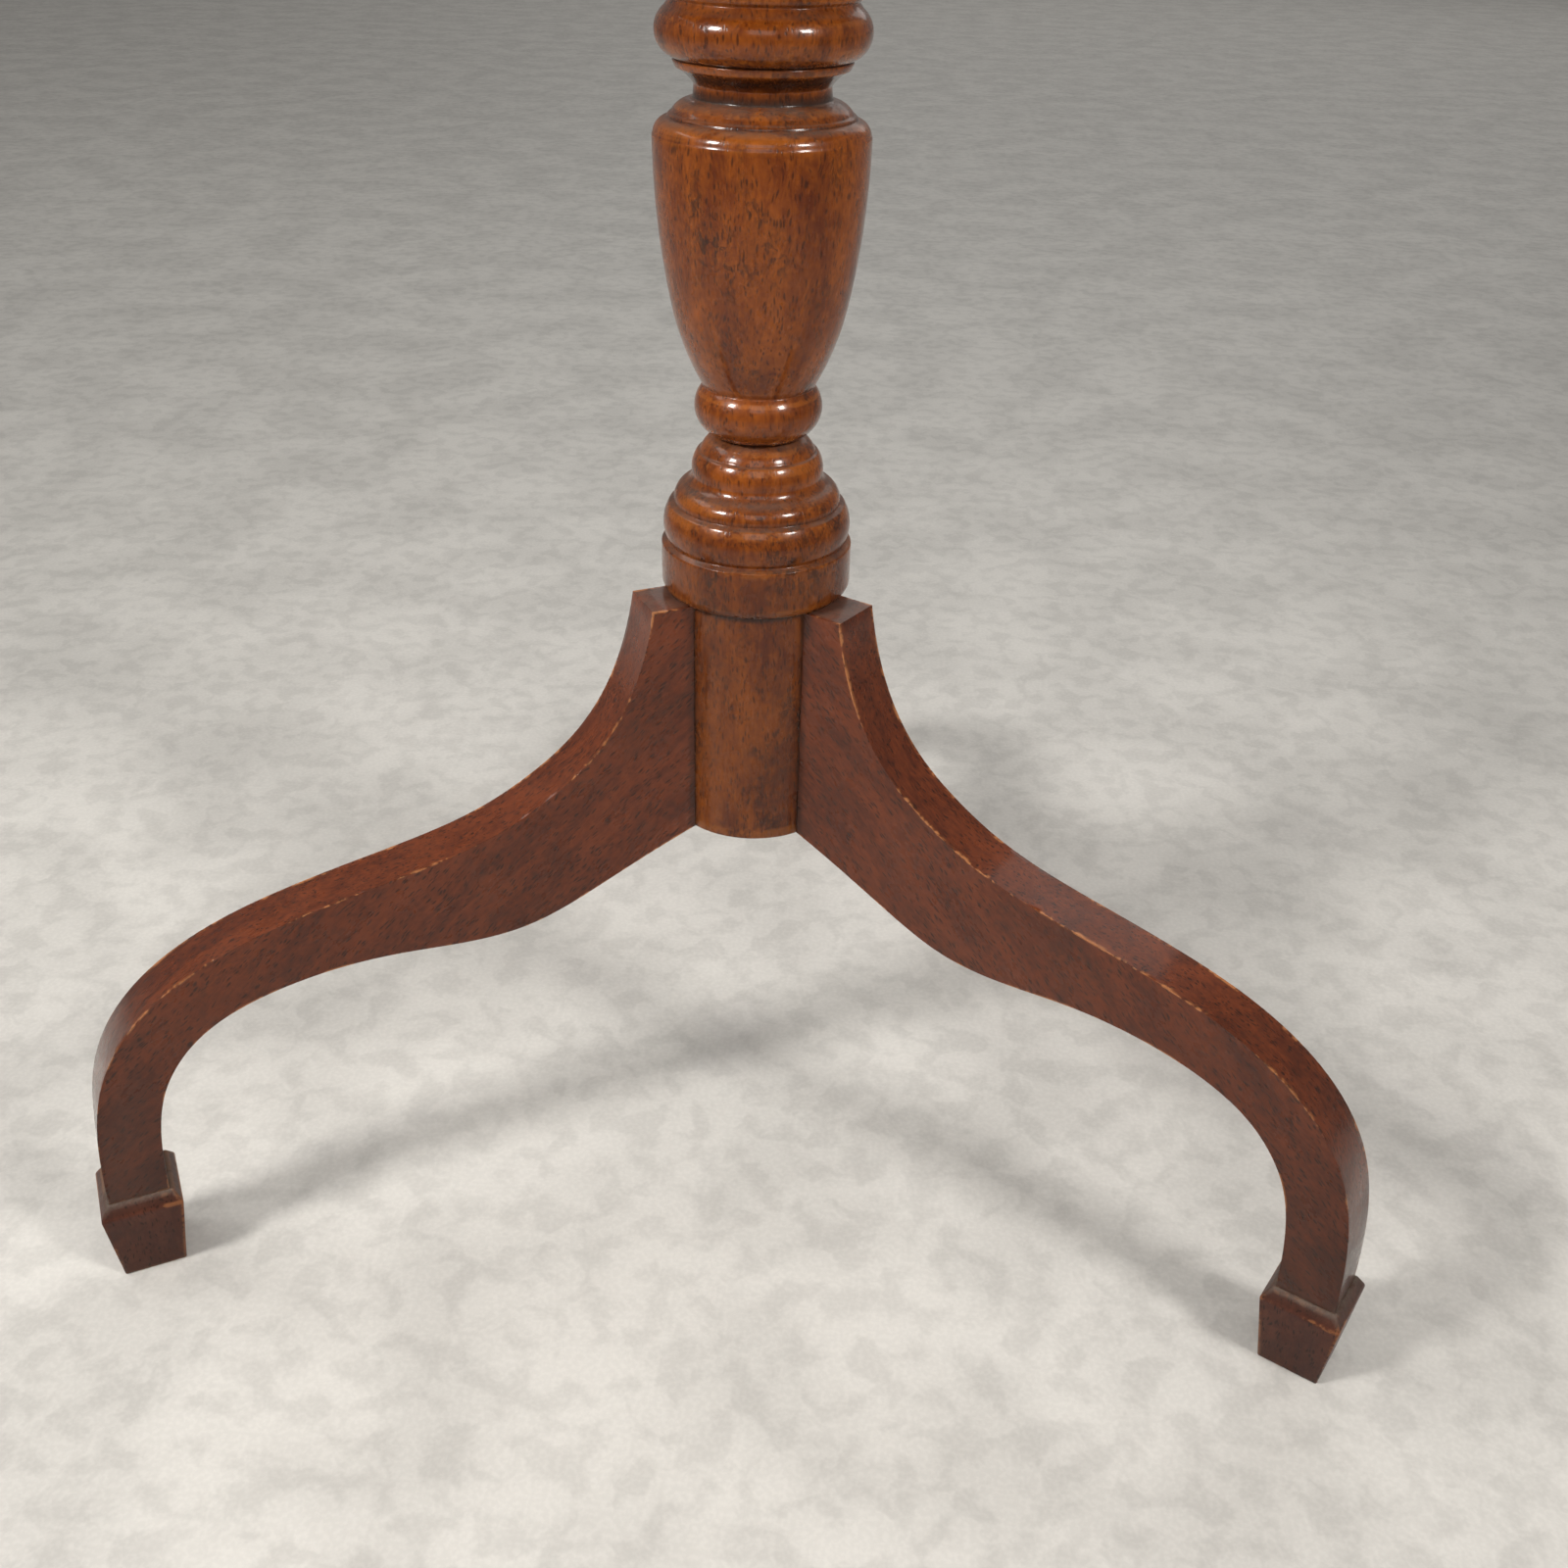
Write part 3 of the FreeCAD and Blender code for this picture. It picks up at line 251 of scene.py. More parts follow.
def timber_group() -> bpy.types.NodeTree:
    """Grain with its fibres along Z: broad figure, fine fibres and short dark pores.

    Returns:
        The group.
    """
    bench, given, made = new_group(
        "timber_grain",
        {"Vector": Port.VECTOR, "Light": Port.COLOUR, "Dark": Port.COLOUR,
         "Pore": Port.COLOUR, "Pore Amount": Port.VALUE},
        {"Color": Port.COLOUR, "Pores": Port.VALUE},
    )
    straight = given.outputs["Vector"]
    drift = bench.put("ShaderNodeTexNoise", bench.scaled(straight, (110.0, 110.0, 60.0)))
    drift.inputs["Scale"].default_value = 1.0
    curl = bench.put("ShaderNodeVectorMath", drift.outputs["Color"], (0.5, 0.5, 0.5),
                     operation="SUBTRACT").outputs[0]
    place = bench.put("ShaderNodeVectorMath", straight, bench.scaled(curl, (6e-3, 6e-3, 6e-3)),
                      operation="ADD").outputs[0]
    figure = bench.noise(place, (65.0, 65.0, 18.0), 3.0, 0.8)
    fibre = bench.noise(place, (900.0, 900.0, 80.0), 3.0)
    ripple = bench.noise(place, (330.0, 330.0, 230.0), 3.0, 0.6)
    tone = bench.math("ADD", bench.math("MULTIPLY", figure, 0.5),
                      bench.math("MULTIPLY", fibre, 0.24))
    tone = bench.math("ADD", tone, bench.math("MULTIPLY", ripple, 0.3))
    colour = bench.blend(bench.step(tone, 0.34, 0.7), given.outputs["Dark"],
                         given.outputs["Light"])
    pore_cells = bench.cells(place, (900.0, 900.0, 210.0))
    spot = bench.step(pore_cells.outputs["Distance"], 0.5, 0.2)
    lottery = bench.put("ShaderNodeSeparateColor", pore_cells.outputs["Color"]).outputs[0]
    cluster = bench.noise(place, (170.0, 170.0, 40.0), 2.0)
    chosen = bench.step(bench.math("MULTIPLY", lottery, cluster), 0.2, 0.3)
    pores = bench.math("MULTIPLY", spot, chosen)
    strength = bench.math("MULTIPLY", pores, given.outputs["Pore Amount"])
    bench.feed(made.inputs["Color"], bench.blend(strength, colour, given.outputs["Pore"]))
    bench.feed(made.inputs["Pores"], pores)
    return bench.tree


def mottle_group() -> bpy.types.NodeTree:
    """Blotches of dark stain that gather in patches.

    Returns:
        The group.
    """
    bench, given, made = new_group(
        "old_stain",
        {"Vector": Port.VECTOR, "Color": Port.COLOUR, "Stain": Port.COLOUR,
         "Amount": Port.VALUE},
        {"Color": Port.COLOUR, "Mask": Port.VALUE},
    )
    place = given.outputs["Vector"]
    patch = bench.step(bench.noise(place, (34.0, 34.0, 24.0), 2.0, 0.4), 0.42, 0.66)
    blotch = bench.step(bench.noise(place, (300.0, 300.0, 190.0), 4.0, 1.2), 0.5, 0.6)
    fleck = bench.step(bench.noise(place, (1100.0, 1100.0, 620.0), 2.0), 0.42, 0.62)
    mask = bench.math("MULTIPLY", patch, bench.math("ADD", bench.math("MULTIPLY", blotch, 0.7),
                                                    bench.math("MULTIPLY", fleck, 0.35)))
    mask = bench.math("MULTIPLY", mask, given.outputs["Amount"])
    bench.feed(made.inputs["Color"], bench.blend(mask, given.outputs["Color"],
                                                 given.outputs["Stain"]))
    bench.feed(made.inputs["Mask"], mask)
    return bench.tree


def wear_group() -> bpy.types.NodeTree:
    """Polish rubbed off an arris, in a broken line.

    Returns:
        The group.
    """
    bench, given, made = new_group(
        "edge_wear",
        {"Vector": Port.VECTOR, "Color": Port.COLOUR, "Bare": Port.COLOUR,
         "Edge": Port.VALUE, "Amount": Port.VALUE},
        {"Color": Port.COLOUR, "Mask": Port.VALUE},
    )
    place = given.outputs["Vector"]
    stretch = bench.noise(place, (42.0, 42.0, 42.0), 2.0)
    crumbs = bench.noise(place, (420.0, 420.0, 420.0), 3.0)
    broken = bench.math("ADD", bench.math("MULTIPLY", stretch, 0.62),
                        bench.math("MULTIPLY", crumbs, 0.42))
    reach = bench.math("MULTIPLY", given.outputs["Edge"], bench.step(broken, 0.44, 0.62))
    mask = bench.math("MULTIPLY", bench.step(reach, 0.12, 0.72), given.outputs["Amount"])
    bench.feed(made.inputs["Color"], bench.blend(mask, given.outputs["Color"],
                                                 given.outputs["Bare"]))
    bench.feed(made.inputs["Mask"], mask)
    return bench.tree


def dust_group() -> bpy.types.NodeTree:
    """Old wax and dust that collect in recesses and on ledges.

    Returns:
        The group.
    """
    bench, given, made = new_group(
        "wax_dust",
        {"Vector": Port.VECTOR, "Color": Port.COLOUR, "Dust": Port.COLOUR,
         "Recess": Port.VALUE, "Amount": Port.VALUE},
        {"Color": Port.COLOUR, "Mask": Port.VALUE},
    )
    place = given.outputs["Vector"]
    patch = bench.noise(place, (120.0, 120.0, 120.0), 3.0)
    fine = bench.noise(place, (900.0, 900.0, 900.0), 2.0)
    thick = bench.math("ADD", bench.math("MULTIPLY", patch, 0.7),
                       bench.math("MULTIPLY", fine, 0.5))
    mask = bench.math("MULTIPLY", given.outputs["Recess"], bench.step(thick, 0.25, 0.75))
    mask = bench.math("MULTIPLY", mask, given.outputs["Amount"])
    bench.feed(made.inputs["Color"], bench.blend(mask, given.outputs["Color"],
                                                 given.outputs["Dust"]))
    bench.feed(made.inputs["Mask"], mask)
    return bench.tree


def speck_group() -> bpy.types.NodeTree:
    """A few pale specks and nicks.

    Returns:
        The group.
    """
    bench, given, made = new_group(
        "pale_specks",
        {"Vector": Port.VECTOR, "Color": Port.COLOUR, "Speck": Port.COLOUR,
         "Rarity": Port.VALUE},
        {"Color": Port.COLOUR, "Mask": Port.VALUE},
    )
    spots = bench.cells(given.outputs["Vector"], (75.0, 75.0, 60.0))
    lottery = bench.put("ShaderNodeSeparateColor", spots.outputs["Color"])
    chosen = bench.math("GREATER_THAN", lottery.outputs[0], given.outputs["Rarity"])
    size = bench.math("MULTIPLY", lottery.outputs[1], 0.06)
    inside = bench.math("SUBTRACT", size, spots.outputs["Distance"])
    mask = bench.math("MULTIPLY", bench.step(inside, 0.0, 0.02), chosen)
    bench.feed(made.inputs["Color"], bench.blend(mask, given.outputs["Color"],
                                                 given.outputs["Speck"]))
    bench.feed(made.inputs["Mask"], mask)
    return bench.tree


def polish_group() -> bpy.types.NodeTree:
    """The surface of an old polish: smears in its gloss, and a fine orange peel.

    Returns:
        The group.
    """
    bench, given, made = new_group(
        "old_polish",
        {"Vector": Port.VECTOR, "Gloss": Port.VALUE, "Dull": Port.VALUE},
        {"Roughness": Port.VALUE, "Height": Port.VALUE},
    )
    place = given.outputs["Vector"]
    smear = bench.noise(place, (60.0, 60.0, 60.0), 3.0, 0.5)
    haze = bench.noise(place, (700.0, 700.0, 260.0), 2.0)
    uneven = bench.step(bench.math("ADD", bench.math("MULTIPLY", smear, 0.7),
                                   bench.math("MULTIPLY", haze, 0.35)), 0.3, 0.75)
    ends = bench.put("ShaderNodeMapRange", uneven)
    bench.feed(ends.inputs[RANGE_LOW], given.outputs["Gloss"])
    bench.feed(ends.inputs[RANGE_HIGH], given.outputs["Dull"])
    peel = bench.noise(place, (420.0, 420.0, 300.0), 2.0)
    grit = bench.noise(place, (1500.0, 1500.0, 900.0), 1.0)
    height = bench.math("ADD", bench.math("MULTIPLY", peel, 0.7),
                        bench.math("MULTIPLY", grit, 0.25))
    bench.feed(made.inputs["Roughness"], ends.outputs[0])
    bench.feed(made.inputs["Height"], height)
    return bench.tree


class Groups:
    """The node groups that the finishes share, built once."""

    def __init__(self) -> None:
        """Build every group."""
        self.timber = timber_group()
        self.stain = mottle_group()
        self.wear = wear_group()
        self.dust = dust_group()
        self.specks = speck_group()
        self.polish = polish_group()


# ------------------------------------------------------------------ finishes


class Space(Enum):
    """Where a finish takes its grain direction from."""

    PIECE = "the piece's own grain attribute"
    ALONG_X = "the table's X axis"
    ALONG_Y = "the table's Y axis"


def grain_vector(bench: Bench, space: Space, shift: float) -> Socket:
    """A place in metres whose Z runs along the grain.

    Args:
        bench: the material's bench.
        space: where the direction comes from.
        shift: metres along the log, so that neighbouring boards differ.

    Returns:
        The vector socket.
    """
    if space is Space.PIECE:
        return bench.put("ShaderNodeAttribute", attribute_name=Mask.GRAIN.value).outputs["Vector"]
    place = bench.put("ShaderNodeTexCoord").outputs["Object"]
    turn = (0.0, math.pi / 2, 0.0) if space is Space.ALONG_X else (math.pi / 2, 0.0, 0.0)
    return bench.put("ShaderNodeMapping", place, (shift, shift, shift), turn).outputs[0]


def mask_value(bench: Bench, mask: Mask) -> Socket:
    """A vertex mask of the piece."""
    return bench.put("ShaderNodeAttribute", attribute_name=mask.value).outputs["Fac"]


@dataclass(frozen=True)
class Mahogany:
    """French polished mahogany.

    Args:
        name: the material's name.
        light, dark: the two tones of the figure.
        pore: colour of the open pores.
        bare: colour where the polish has worn off an edge.
        stain, dust, speck, shade_and_dark_colour: colours of old stain, dust, pale nicks, and the
        near black of painted shade and dark joint lines.
        stain_amount, wear_amount, dust_amount, shade_and_dark_amount, pore_amount: strengths of
        stain, edge wear, dust, painted shade with dark joints, and pores, from 0 to 1.
        speck_rarity: share of the cells that hold no speck.
        gloss, dull: the least and greatest roughness of the polish.
        coat: weight of the clear polish over the wood.
        bump: strength of the relief.
        space: where the grain direction comes from.
        shift: metres along the log.
    """

    name: str
    light: Colour
    dark: Colour
    pore: Colour = (0.016, 0.006, 0.003)
    bare: Colour = (0.52, 0.21, 0.075)
    stain: Colour = (0.035, 0.018, 0.011)
    dust: Colour = (0.14, 0.115, 0.095)
    speck: Colour = (0.62, 0.55, 0.48)
    # Near black that paints shade and dark joint lines.
    shade_and_dark_colour: Colour = (0.009, 0.0045, 0.003)
    stain_amount: float = 0.4
    wear_amount: float = 0.5
    dust_amount: float = 0.7
    shade_and_dark_amount: float = 0.88
    pore_amount: float = 0.8
    speck_rarity: float = 0.95
    gloss: float = 0.22
    dull: float = 0.42
    coat: float = 0.6
    bump: float = 0.22
    space: Space = Space.PIECE
    shift: float = 0.0

    def build(self, groups: Groups) -> bpy.types.Material:
        """Make the material.

        Args:
            groups: the shared node groups.

        Returns:
            The material.
        """
        material = bpy.data.materials.new(self.name)
        material.use_nodes = True
        bench = Bench(material.node_tree)
        shader = material.node_tree.nodes["Principled BSDF"]
        place = grain_vector(bench, self.space, self.shift)
        wood = bench.use(groups.timber, Vector=place, Light=self.light, Dark=self.dark,
                         Pore=self.pore, Pore_Amount=self.pore_amount)
        stained = bench.use(groups.stain, Vector=place, Color=wood.outputs["Color"],
                            Stain=self.stain, Amount=self.stain_amount)
        edge: object = 0.0
        recess: object = 0.0
        smoke: object = 0.0
        if self.space is Space.PIECE:
            edge = mask_value(bench, Mask.EDGE)
            recess = mask_value(bench, Mask.RECESS)
            # Painted shade and dark joint lines, read from the vertex mask.
            smoke = bench.math("MULTIPLY", mask_value(bench, Mask.SHADE_AND_DARK), self.shade_and_dark_amount)
        worn = bench.use(groups.wear, Vector=place, Color=stained.outputs["Color"],
                         Bare=self.bare, Edge=edge, Amount=self.wear_amount)
        nicked = bench.use(groups.specks, Vector=place, Color=worn.outputs["Color"],
                           Speck=self.speck, Rarity=self.speck_rarity)
        # Blends in the near black of the painted shade and the dark joints.
        shaded = bench.blend(smoke, nicked.outputs["Color"], self.shade_and_dark_colour)
        dusty = bench.use(groups.dust, Vector=place, Color=shaded,
                          Dust=self.dust, Recess=recess, Amount=self.dust_amount)
        polish = bench.use(groups.polish, Vector=place, Gloss=self.gloss, Dull=self.dull)
        bench.feed(shader.inputs["Base Color"], dusty.outputs["Color"])
        matt = bench.math("MULTIPLY", dusty.outputs["Mask"], 0.3)
        rough = bench.math("ADD", polish.outputs["Roughness"], matt)
        bench.feed(shader.inputs["Roughness"], rough)
        clear = bench.math("SUBTRACT", self.coat, dusty.outputs["Mask"])
        bench.feed(shader.inputs["Coat Weight"], clear)
        shader.inputs["Coat Roughness"].default_value = 0.09
        shader.inputs["Coat IOR"].default_value = 1.38
        shader.inputs["IOR"].default_value = 1.5
        shader.inputs["Specular IOR Level"].default_value = 0.18
        sunk = bench.math("SUBTRACT", polish.outputs["Height"],
                          bench.math("MULTIPLY", wood.outputs["Pores"], 0.35))
        relief = bench.put("ShaderNodeBump")
        relief.inputs["Strength"].default_value = self.bump
        relief.inputs["Distance"].default_value = 0.4 * MM
        bench.feed(relief.inputs["Height"], sunk)
        bench.feed(shader.inputs["Normal"], relief.outputs[0])
        return material


@dataclass(frozen=True)
class Metal:
    """Old metal with tarnish in patches and fine scratches.

    Args:
        name: the material's name.
        bright, tarnish: its two tones.
        gloss, dull: roughness where bright and where tarnished.
    """

    name: str
    bright: Colour
    tarnish: Colour
    gloss: float = 0.24
    dull: float = 0.5

    def build(self) -> bpy.types.Material:
        """Make the material.

        Returns:
            The material.
        """
        material = bpy.data.materials.new(self.name)
        material.use_nodes = True
        bench = Bench(material.node_tree)
        shader = material.node_tree.nodes["Principled BSDF"]
        place = bench.put("ShaderNodeTexCoord").outputs["Object"]
        patch = bench.step(bench.noise(place, (90.0, 90.0, 90.0), 4.0, 0.5), 0.38, 0.68)
        scratch = bench.noise(place, (1800.0, 120.0, 1800.0), 2.0)
        mask = bench.math("ADD", bench.math("MULTIPLY", patch, 0.8),
                          bench.math("MULTIPLY", scratch, 0.2))
        bench.feed(shader.inputs["Base Color"], bench.blend(mask, self.bright, self.tarnish))
        span = bench.put("ShaderNodeMapRange", mask)
        bench.feed(span.inputs[RANGE_LOW], self.gloss)
        bench.feed(span.inputs[RANGE_HIGH], self.dull)
        bench.feed(shader.inputs["Roughness"], span.outputs[0])
        shader.inputs["Metallic"].default_value = 1.0
        relief = bench.put("ShaderNodeBump")
        relief.inputs["Strength"].default_value = 0.25
        relief.inputs["Distance"].default_value = 0.05 * MM
        bench.feed(relief.inputs["Height"], scratch)
        bench.feed(shader.inputs["Normal"], relief.outputs[0])
        return material


# -------------------------------------------------------------- mesh helpers


def clamp(value: float) -> float:
    """A value held between 0 and 1."""
    return min(1.0, max(0.0, value))


def finish_piece(name: str, mesh: BMesh, body: str, material: bpy.types.Material,
                 sharp_degrees: float, nodes: Sequence[str]) -> bpy.types.Object:
    """Turn a bmesh into a piece that rides on a body and stands for CAD nodes.

    Args:
        name: the piece's name.
        mesh: its bmesh, in the table's frame; it is freed.
        body: the CAD body that carries it.
        material: its finish.
        sharp_degrees: edges sharper than this stay hard.
        nodes: the CAD nodes that it replaces.

    Returns:
        The piece.
    """
    data = bpy.data.meshes.new(name)
    mesh.to_mesh(data)
    mesh.free()
    data.shade_smooth()
    data.set_sharp_from_angle(angle=math.radians(sharp_degrees))
    data.materials.append(material)
    piece = bpy.data.objects.new(name, data)
    bpy.context.scene.collection.objects.link(piece)
    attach(piece, body)
    if nodes:
        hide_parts(*nodes)
    LOG.info("%s: %d faces on %s", name, len(data.polygons), body)
    return piece


def paint(mesh: BMesh, grain: Callable[[Vector], Vector], edge: Callable[[BMVert], float],
          recess: Callable[[BMVert], float], smoke: Callable[[BMVert], float]) -> None:
    """Write the vertex attributes that the wood finishes read.

    Args:
        mesh: the piece.
        grain: gives a vertex's place in the timber, with Z along its fibres.
        edge: how near a vertex is to a worn edge, 0 to 1.
        recess: how much dust a vertex holds, 0 to 1.
        smoke: how much painted shade and dark joint line a vertex holds, 0 to 1.
    """
    layers = mesh.verts.layers
    grain_layer = layers.float_vector.new(Mask.GRAIN.value)
    edge_layer = layers.float.new(Mask.EDGE.value)
    recess_layer = layers.float.new(Mask.RECESS.value)
    shade_and_dark_layer = layers.float.new(Mask.SHADE_AND_DARK.value)
    for vert in mesh.verts:
        vert[grain_layer] = grain(vert.co)
        vert[edge_layer] = clamp(edge(vert))
        vert[recess_layer] = clamp(recess(vert))
        # The darkening mask: painted shade, and dark joint lines.
        vert[shade_and_dark_layer] = clamp(smoke(vert))


def arc_points(start: Vector, finish: Vector, swell: float, pitch: float) -> list[Vector]:
    """Points of an arc after its start, up to and with its finish.

    Args:
        start, finish: its ends in a plane.
        swell: height of the arc over its chord, to the right of travel.
        pitch: spacing of the points.

    Returns:
        The points.
    """
    chord = finish - start
    length = chord.length
    radius = length * length / (8 * abs(swell)) + abs(swell) / 2
    half_angle = math.asin(min(1.0, length / 2 / radius))
    side = Vector((chord.y, -chord.x)).normalized() * math.copysign(1.0, swell)
    centre = (start + finish) / 2 - side * (radius - abs(swell))
    count = max(4, math.ceil(2 * half_angle * radius / pitch))
    arm = start - centre
    turn = math.copysign(2 * half_angle / count, swell)
    points = []
    for index in range(1, count + 1):
        angle = turn * index
        cosine, sine = math.cos(angle), math.sin(angle)
        points.append(centre + Vector((arm.x * cosine - arm.y * sine,
                                       arm.x * sine + arm.y * cosine)))
    return points


# -------------------------------------------------------------------- pieces


@dataclass(frozen=True)
class Member:
    """One turned member: its rise, the radius at its top and its swell, in millimetres."""

    rise: float
    radius: float
    swell: float = 0.0


LOWER_MEMBERS = (
    Member(108.6, DRUM_RADIUS),
    Member(0.0, 38.0),
    Member(5.0, 40.4, 0.8),
    Member(15.4, 40.4),
    Member(0.6, 40.0),
    Member(1.2, 38.0),
    Member(15.3, 37.0, 2.0),
    Member(1.0, 34.8),
    Member(1.5, 35.0),
    Member(6.0, 31.0, 0.9),
    Member(4.3, 27.2, -0.7),
    Member(9.6, 25.0, 1.1),
    Member(0.4, 24.0),
    Member(6.0, 18.8, 0.7),
    Member(0.8, 17.6),
    Member(0.4, 18.8),
    Member(20.0, 22.7, 5.3),
    Member(32.0, 35.0, 1.35),
    Member(59.5, 41.6, 1.45),
    Member(3.6, 41.6),
    Member(0.5, 41.3),
    Member(5.5, 35.8, 1.4),
    Member(1.8, 34.4, 0.4),
    Member(4.6, 27.0, 1.1),
    Member(0.5, 26.2),
    Member(4.5, 25.8),
    Member(5.7, 32.6, -0.7),
    Member(2.5, 33.8),
    Member(0.6, 33.0),
    Member(0.6, 34.6),
    Member(16.7, 36.5, 4.65),
    Member(2.2, 34.8),
    Member(0.8, 35.6),
    Member(4.5, 35.0, 0.9),
    Member(0.8, 31.5),
    Member(12.5, 24.6, -2.6),
)
UPPER_MEMBERS = (
    Member(1.0, 18.4),
    Member(8.5, 18.4, 3.6),
    Member(1.0, 19.4),
    Member(24.0, 33.0, -4.2),
    Member(1.0, 35.2),
    Member(7.0, 35.2, 1.2),
)


@dataclass
class Column:
    """The turned column, from the foot of its drum to the underside of the block.

    Args:
        drum_radius, shaft_top_radius: radii of the drum and of the shaft's top.
        pitch, row: spacing of the points on curves and on straight parts.
        steps: facets round the column.
        arris, sharp_angle: rounding of the rings, and the least turn that is rounded.
        leg_thickness, leg_angles: the legs that the drum meets.
        groove_slope, groove_depth, groove_window: how steep, deep and wide a groove is that holds
        dust and gets painted shade.
        deep_dust: dust in a full groove.
        ledge_gain, ledge_from, ledge_most: dust on a face as it nears level.
        crest_reach, crest_height: how a ring must stand out to be lighter, partly worn polish and
            partly a painted highlight.
        darken_level, darken_reach, darken_most: where and how far the column grows darker towards
            the floor.
    """

    drum_radius: float = DRUM_RADIUS
    shaft_top_radius: float = 19.4
    pitch: float = 0.9
    row: float = 3.0
    steps: int = 192
    arris: float = 0.35
    sharp_angle: float = 24.0
    leg_thickness: float = LEG_THICKNESS
    leg_angles: tuple[float, ...] = tuple(LEG_ANGLES.values())
    groove_slope: float = 1.15
    groove_depth: float = 1.3
    groove_window: float = 14.0
    deep_dust: float = 0.35
    ledge_gain: float = 2.6
    ledge_from: float = 0.6
    ledge_most: float = 0.8
    crest_reach: float = 3.0
    crest_height: float = 0.55
    darken_level: float = 325.0
    darken_reach: float = 120.0
    darken_most: float = 0.3

    def profile(self, bottom: float, top: float) -> list[Vector]:
        """The column's outline in millimetres, as (radius, level) points.

        Args:
            bottom, top: levels of its two ends.

        Returns:
            The points, from the axis at the bottom to the axis at the top.
        """
        points = [Vector((0.0, bottom)), Vector((self.drum_radius, bottom))]
        self.climb(points, LOWER_MEMBERS)
        shaft_top = top - sum(member.rise for member in UPPER_MEMBERS)
        self.straight(points, Vector((self.shaft_top_radius, shaft_top)))
        self.climb(points, UPPER_MEMBERS)
        points.append(Vector((0.0, top)))
        return points

    def climb(self, points: list[Vector], members: Iterable[Member]) -> None:
        """Add a stack of members to an outline.

        Args:
            points: the outline so far; it is lengthened.
            members: the members, from the bottom up.
        """
        for member in members:
            start = points[-1]
            finish = Vector((member.radius, start.y + member.rise))
            if member.swell:
                points.extend(arc_points(start, finish, member.swell, self.pitch))
            else:
                self.straight(points, finish)

    def straight(self, points: list[Vector], finish: Vector) -> None:
        """Add a straight line to an outline, with rows that carry the masks.

        Args:
            points: the outline so far; it is lengthened.
            finish: where the line ends.
        """
        start = points[-1].copy()
        count = max(1, math.ceil((finish - start).length / self.row))
        points.extend(start.lerp(finish, (index + 1) / count) for index in range(count))

    def build(self, material: bpy.types.Material) -> bpy.types.Object:
        """Turn the column.

        Args:
            material: its finish.

        Returns:
            The piece.
        """
        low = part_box("column")[0]
        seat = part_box("top_block")[0]
        outline = self.profile(low[2] / MM, seat[2] / MM)
        mesh = bmesh.new()
        verts = [mesh.verts.new((point.x * MM, 0.0, point.y * MM)) for point in outline]
        edges = [mesh.edges.new(pair) for pair in zip(verts, verts[1:])]
        bmesh.ops.spin(mesh, geom=verts + edges, cent=(0, 0, 0), axis=(0, 0, 1), dvec=(0, 0, 0),
                       angle=2 * math.pi, steps=self.steps, use_merge=True,
                       use_normal_flip=False, use_duplicate=False)
        bmesh.ops.remove_doubles(mesh, verts=mesh.verts, dist=0.01 * MM)
        bmesh.ops.recalc_face_normals(mesh, faces=mesh.faces)
        self.soften(mesh)
        masks = self.ring_masks(mesh)
        leg_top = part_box("leg_back")[1][2] / MM
        # The darkening mask paints shade in the grooves on faces that don't look up and beside
        # the legs; the edge mask makes ring crests lighter, partly worn polish and partly a
        # painted highlight.
        paint(mesh, lambda place: place.copy(), lambda vert: masks[self.ring_of(vert)][0],
              lambda vert: self.ledge(vert, masks[self.ring_of(vert)][1]),
              lambda vert: max(masks[self.ring_of(vert)][1] * (1.0 - max(0.0, vert.normal.z)),
                               self.beside_leg(vert.co / MM, leg_top), self.low(vert)))
        return finish_piece("turned_column", mesh, "pedestal", material,
                            50.0, ["column"])

    def soften(self, mesh: BMesh) -> None:
        """Round the sharp rings of the turning.

        Args:
            mesh: the turned mesh.
        """
        sharp = [edge for edge in mesh.edges if len(edge.link_faces) == 2
                 and edge.calc_face_angle(0.0) > math.radians(self.sharp_angle)]
        bmesh.ops.bevel(mesh, geom=sharp, offset=self.arris * MM, offset_type="OFFSET",
                        affect="EDGES", segments=2, profile=0.5, material=-1,
                        clamp_overlap=True)

    @staticmethod
    def ring_of(vert: BMVert) -> tuple[float, float]:
        """Level and radius of a vertex's ring, in millimetres."""
        return round(vert.co.z / MM, 1), round(vert.co.xy.length / MM, 1)

    def ring_masks(self, mesh: BMesh) -> dict[tuple[float, float], tuple[float, float]]:
        """How far each ring stands out of its neighbours, and how deep it lies under them.

        Args:
            mesh: the turned mesh.

        Returns:
            The crest and the recess value of each ring.
        """
        rings = {self.ring_of(vert) for vert in mesh.verts}
        masks = {}
        for level, radius in rings:
            near = [other for height, other in rings if abs(height - level) < self.crest_reach]
            # Lighter crests: worn polish, and partly a painted highlight on the beads.
            crest_wear_and_highlight = (radius - sum(near) / len(near)) / self.crest_height
            hull = max(other - self.groove_slope * abs(height - level)
                       for height, other in rings if abs(height - level) < self.groove_window)
            # deep: how far a ring lies inside its neighbours; it gives dust on ledges and painted
            # shade in grooves.
            deep = (hull - radius) / self.groove_depth if radius > 1.0 else 0.0
            masks[(level, radius)] = (crest_wear_and_highlight, deep)
        return masks

    def ledge(self, vert: BMVert, deep: float) -> float:
        """How much dust a vertex holds, as it lies flat or deep, 0 to 1."""
        flat = self.ledge_gain * (vert.normal.z - self.ledge_from)
        return max(self.deep_dust * deep * vert.normal.z, min(self.ledge_most, flat))

    def low(self, vert: BMVert) -> float:
        """How much darker a vertex is towards the floor, 0 to 1."""
        return min(self.darken_most, (self.darken_level - vert.co.z / MM) / self.darken_reach)

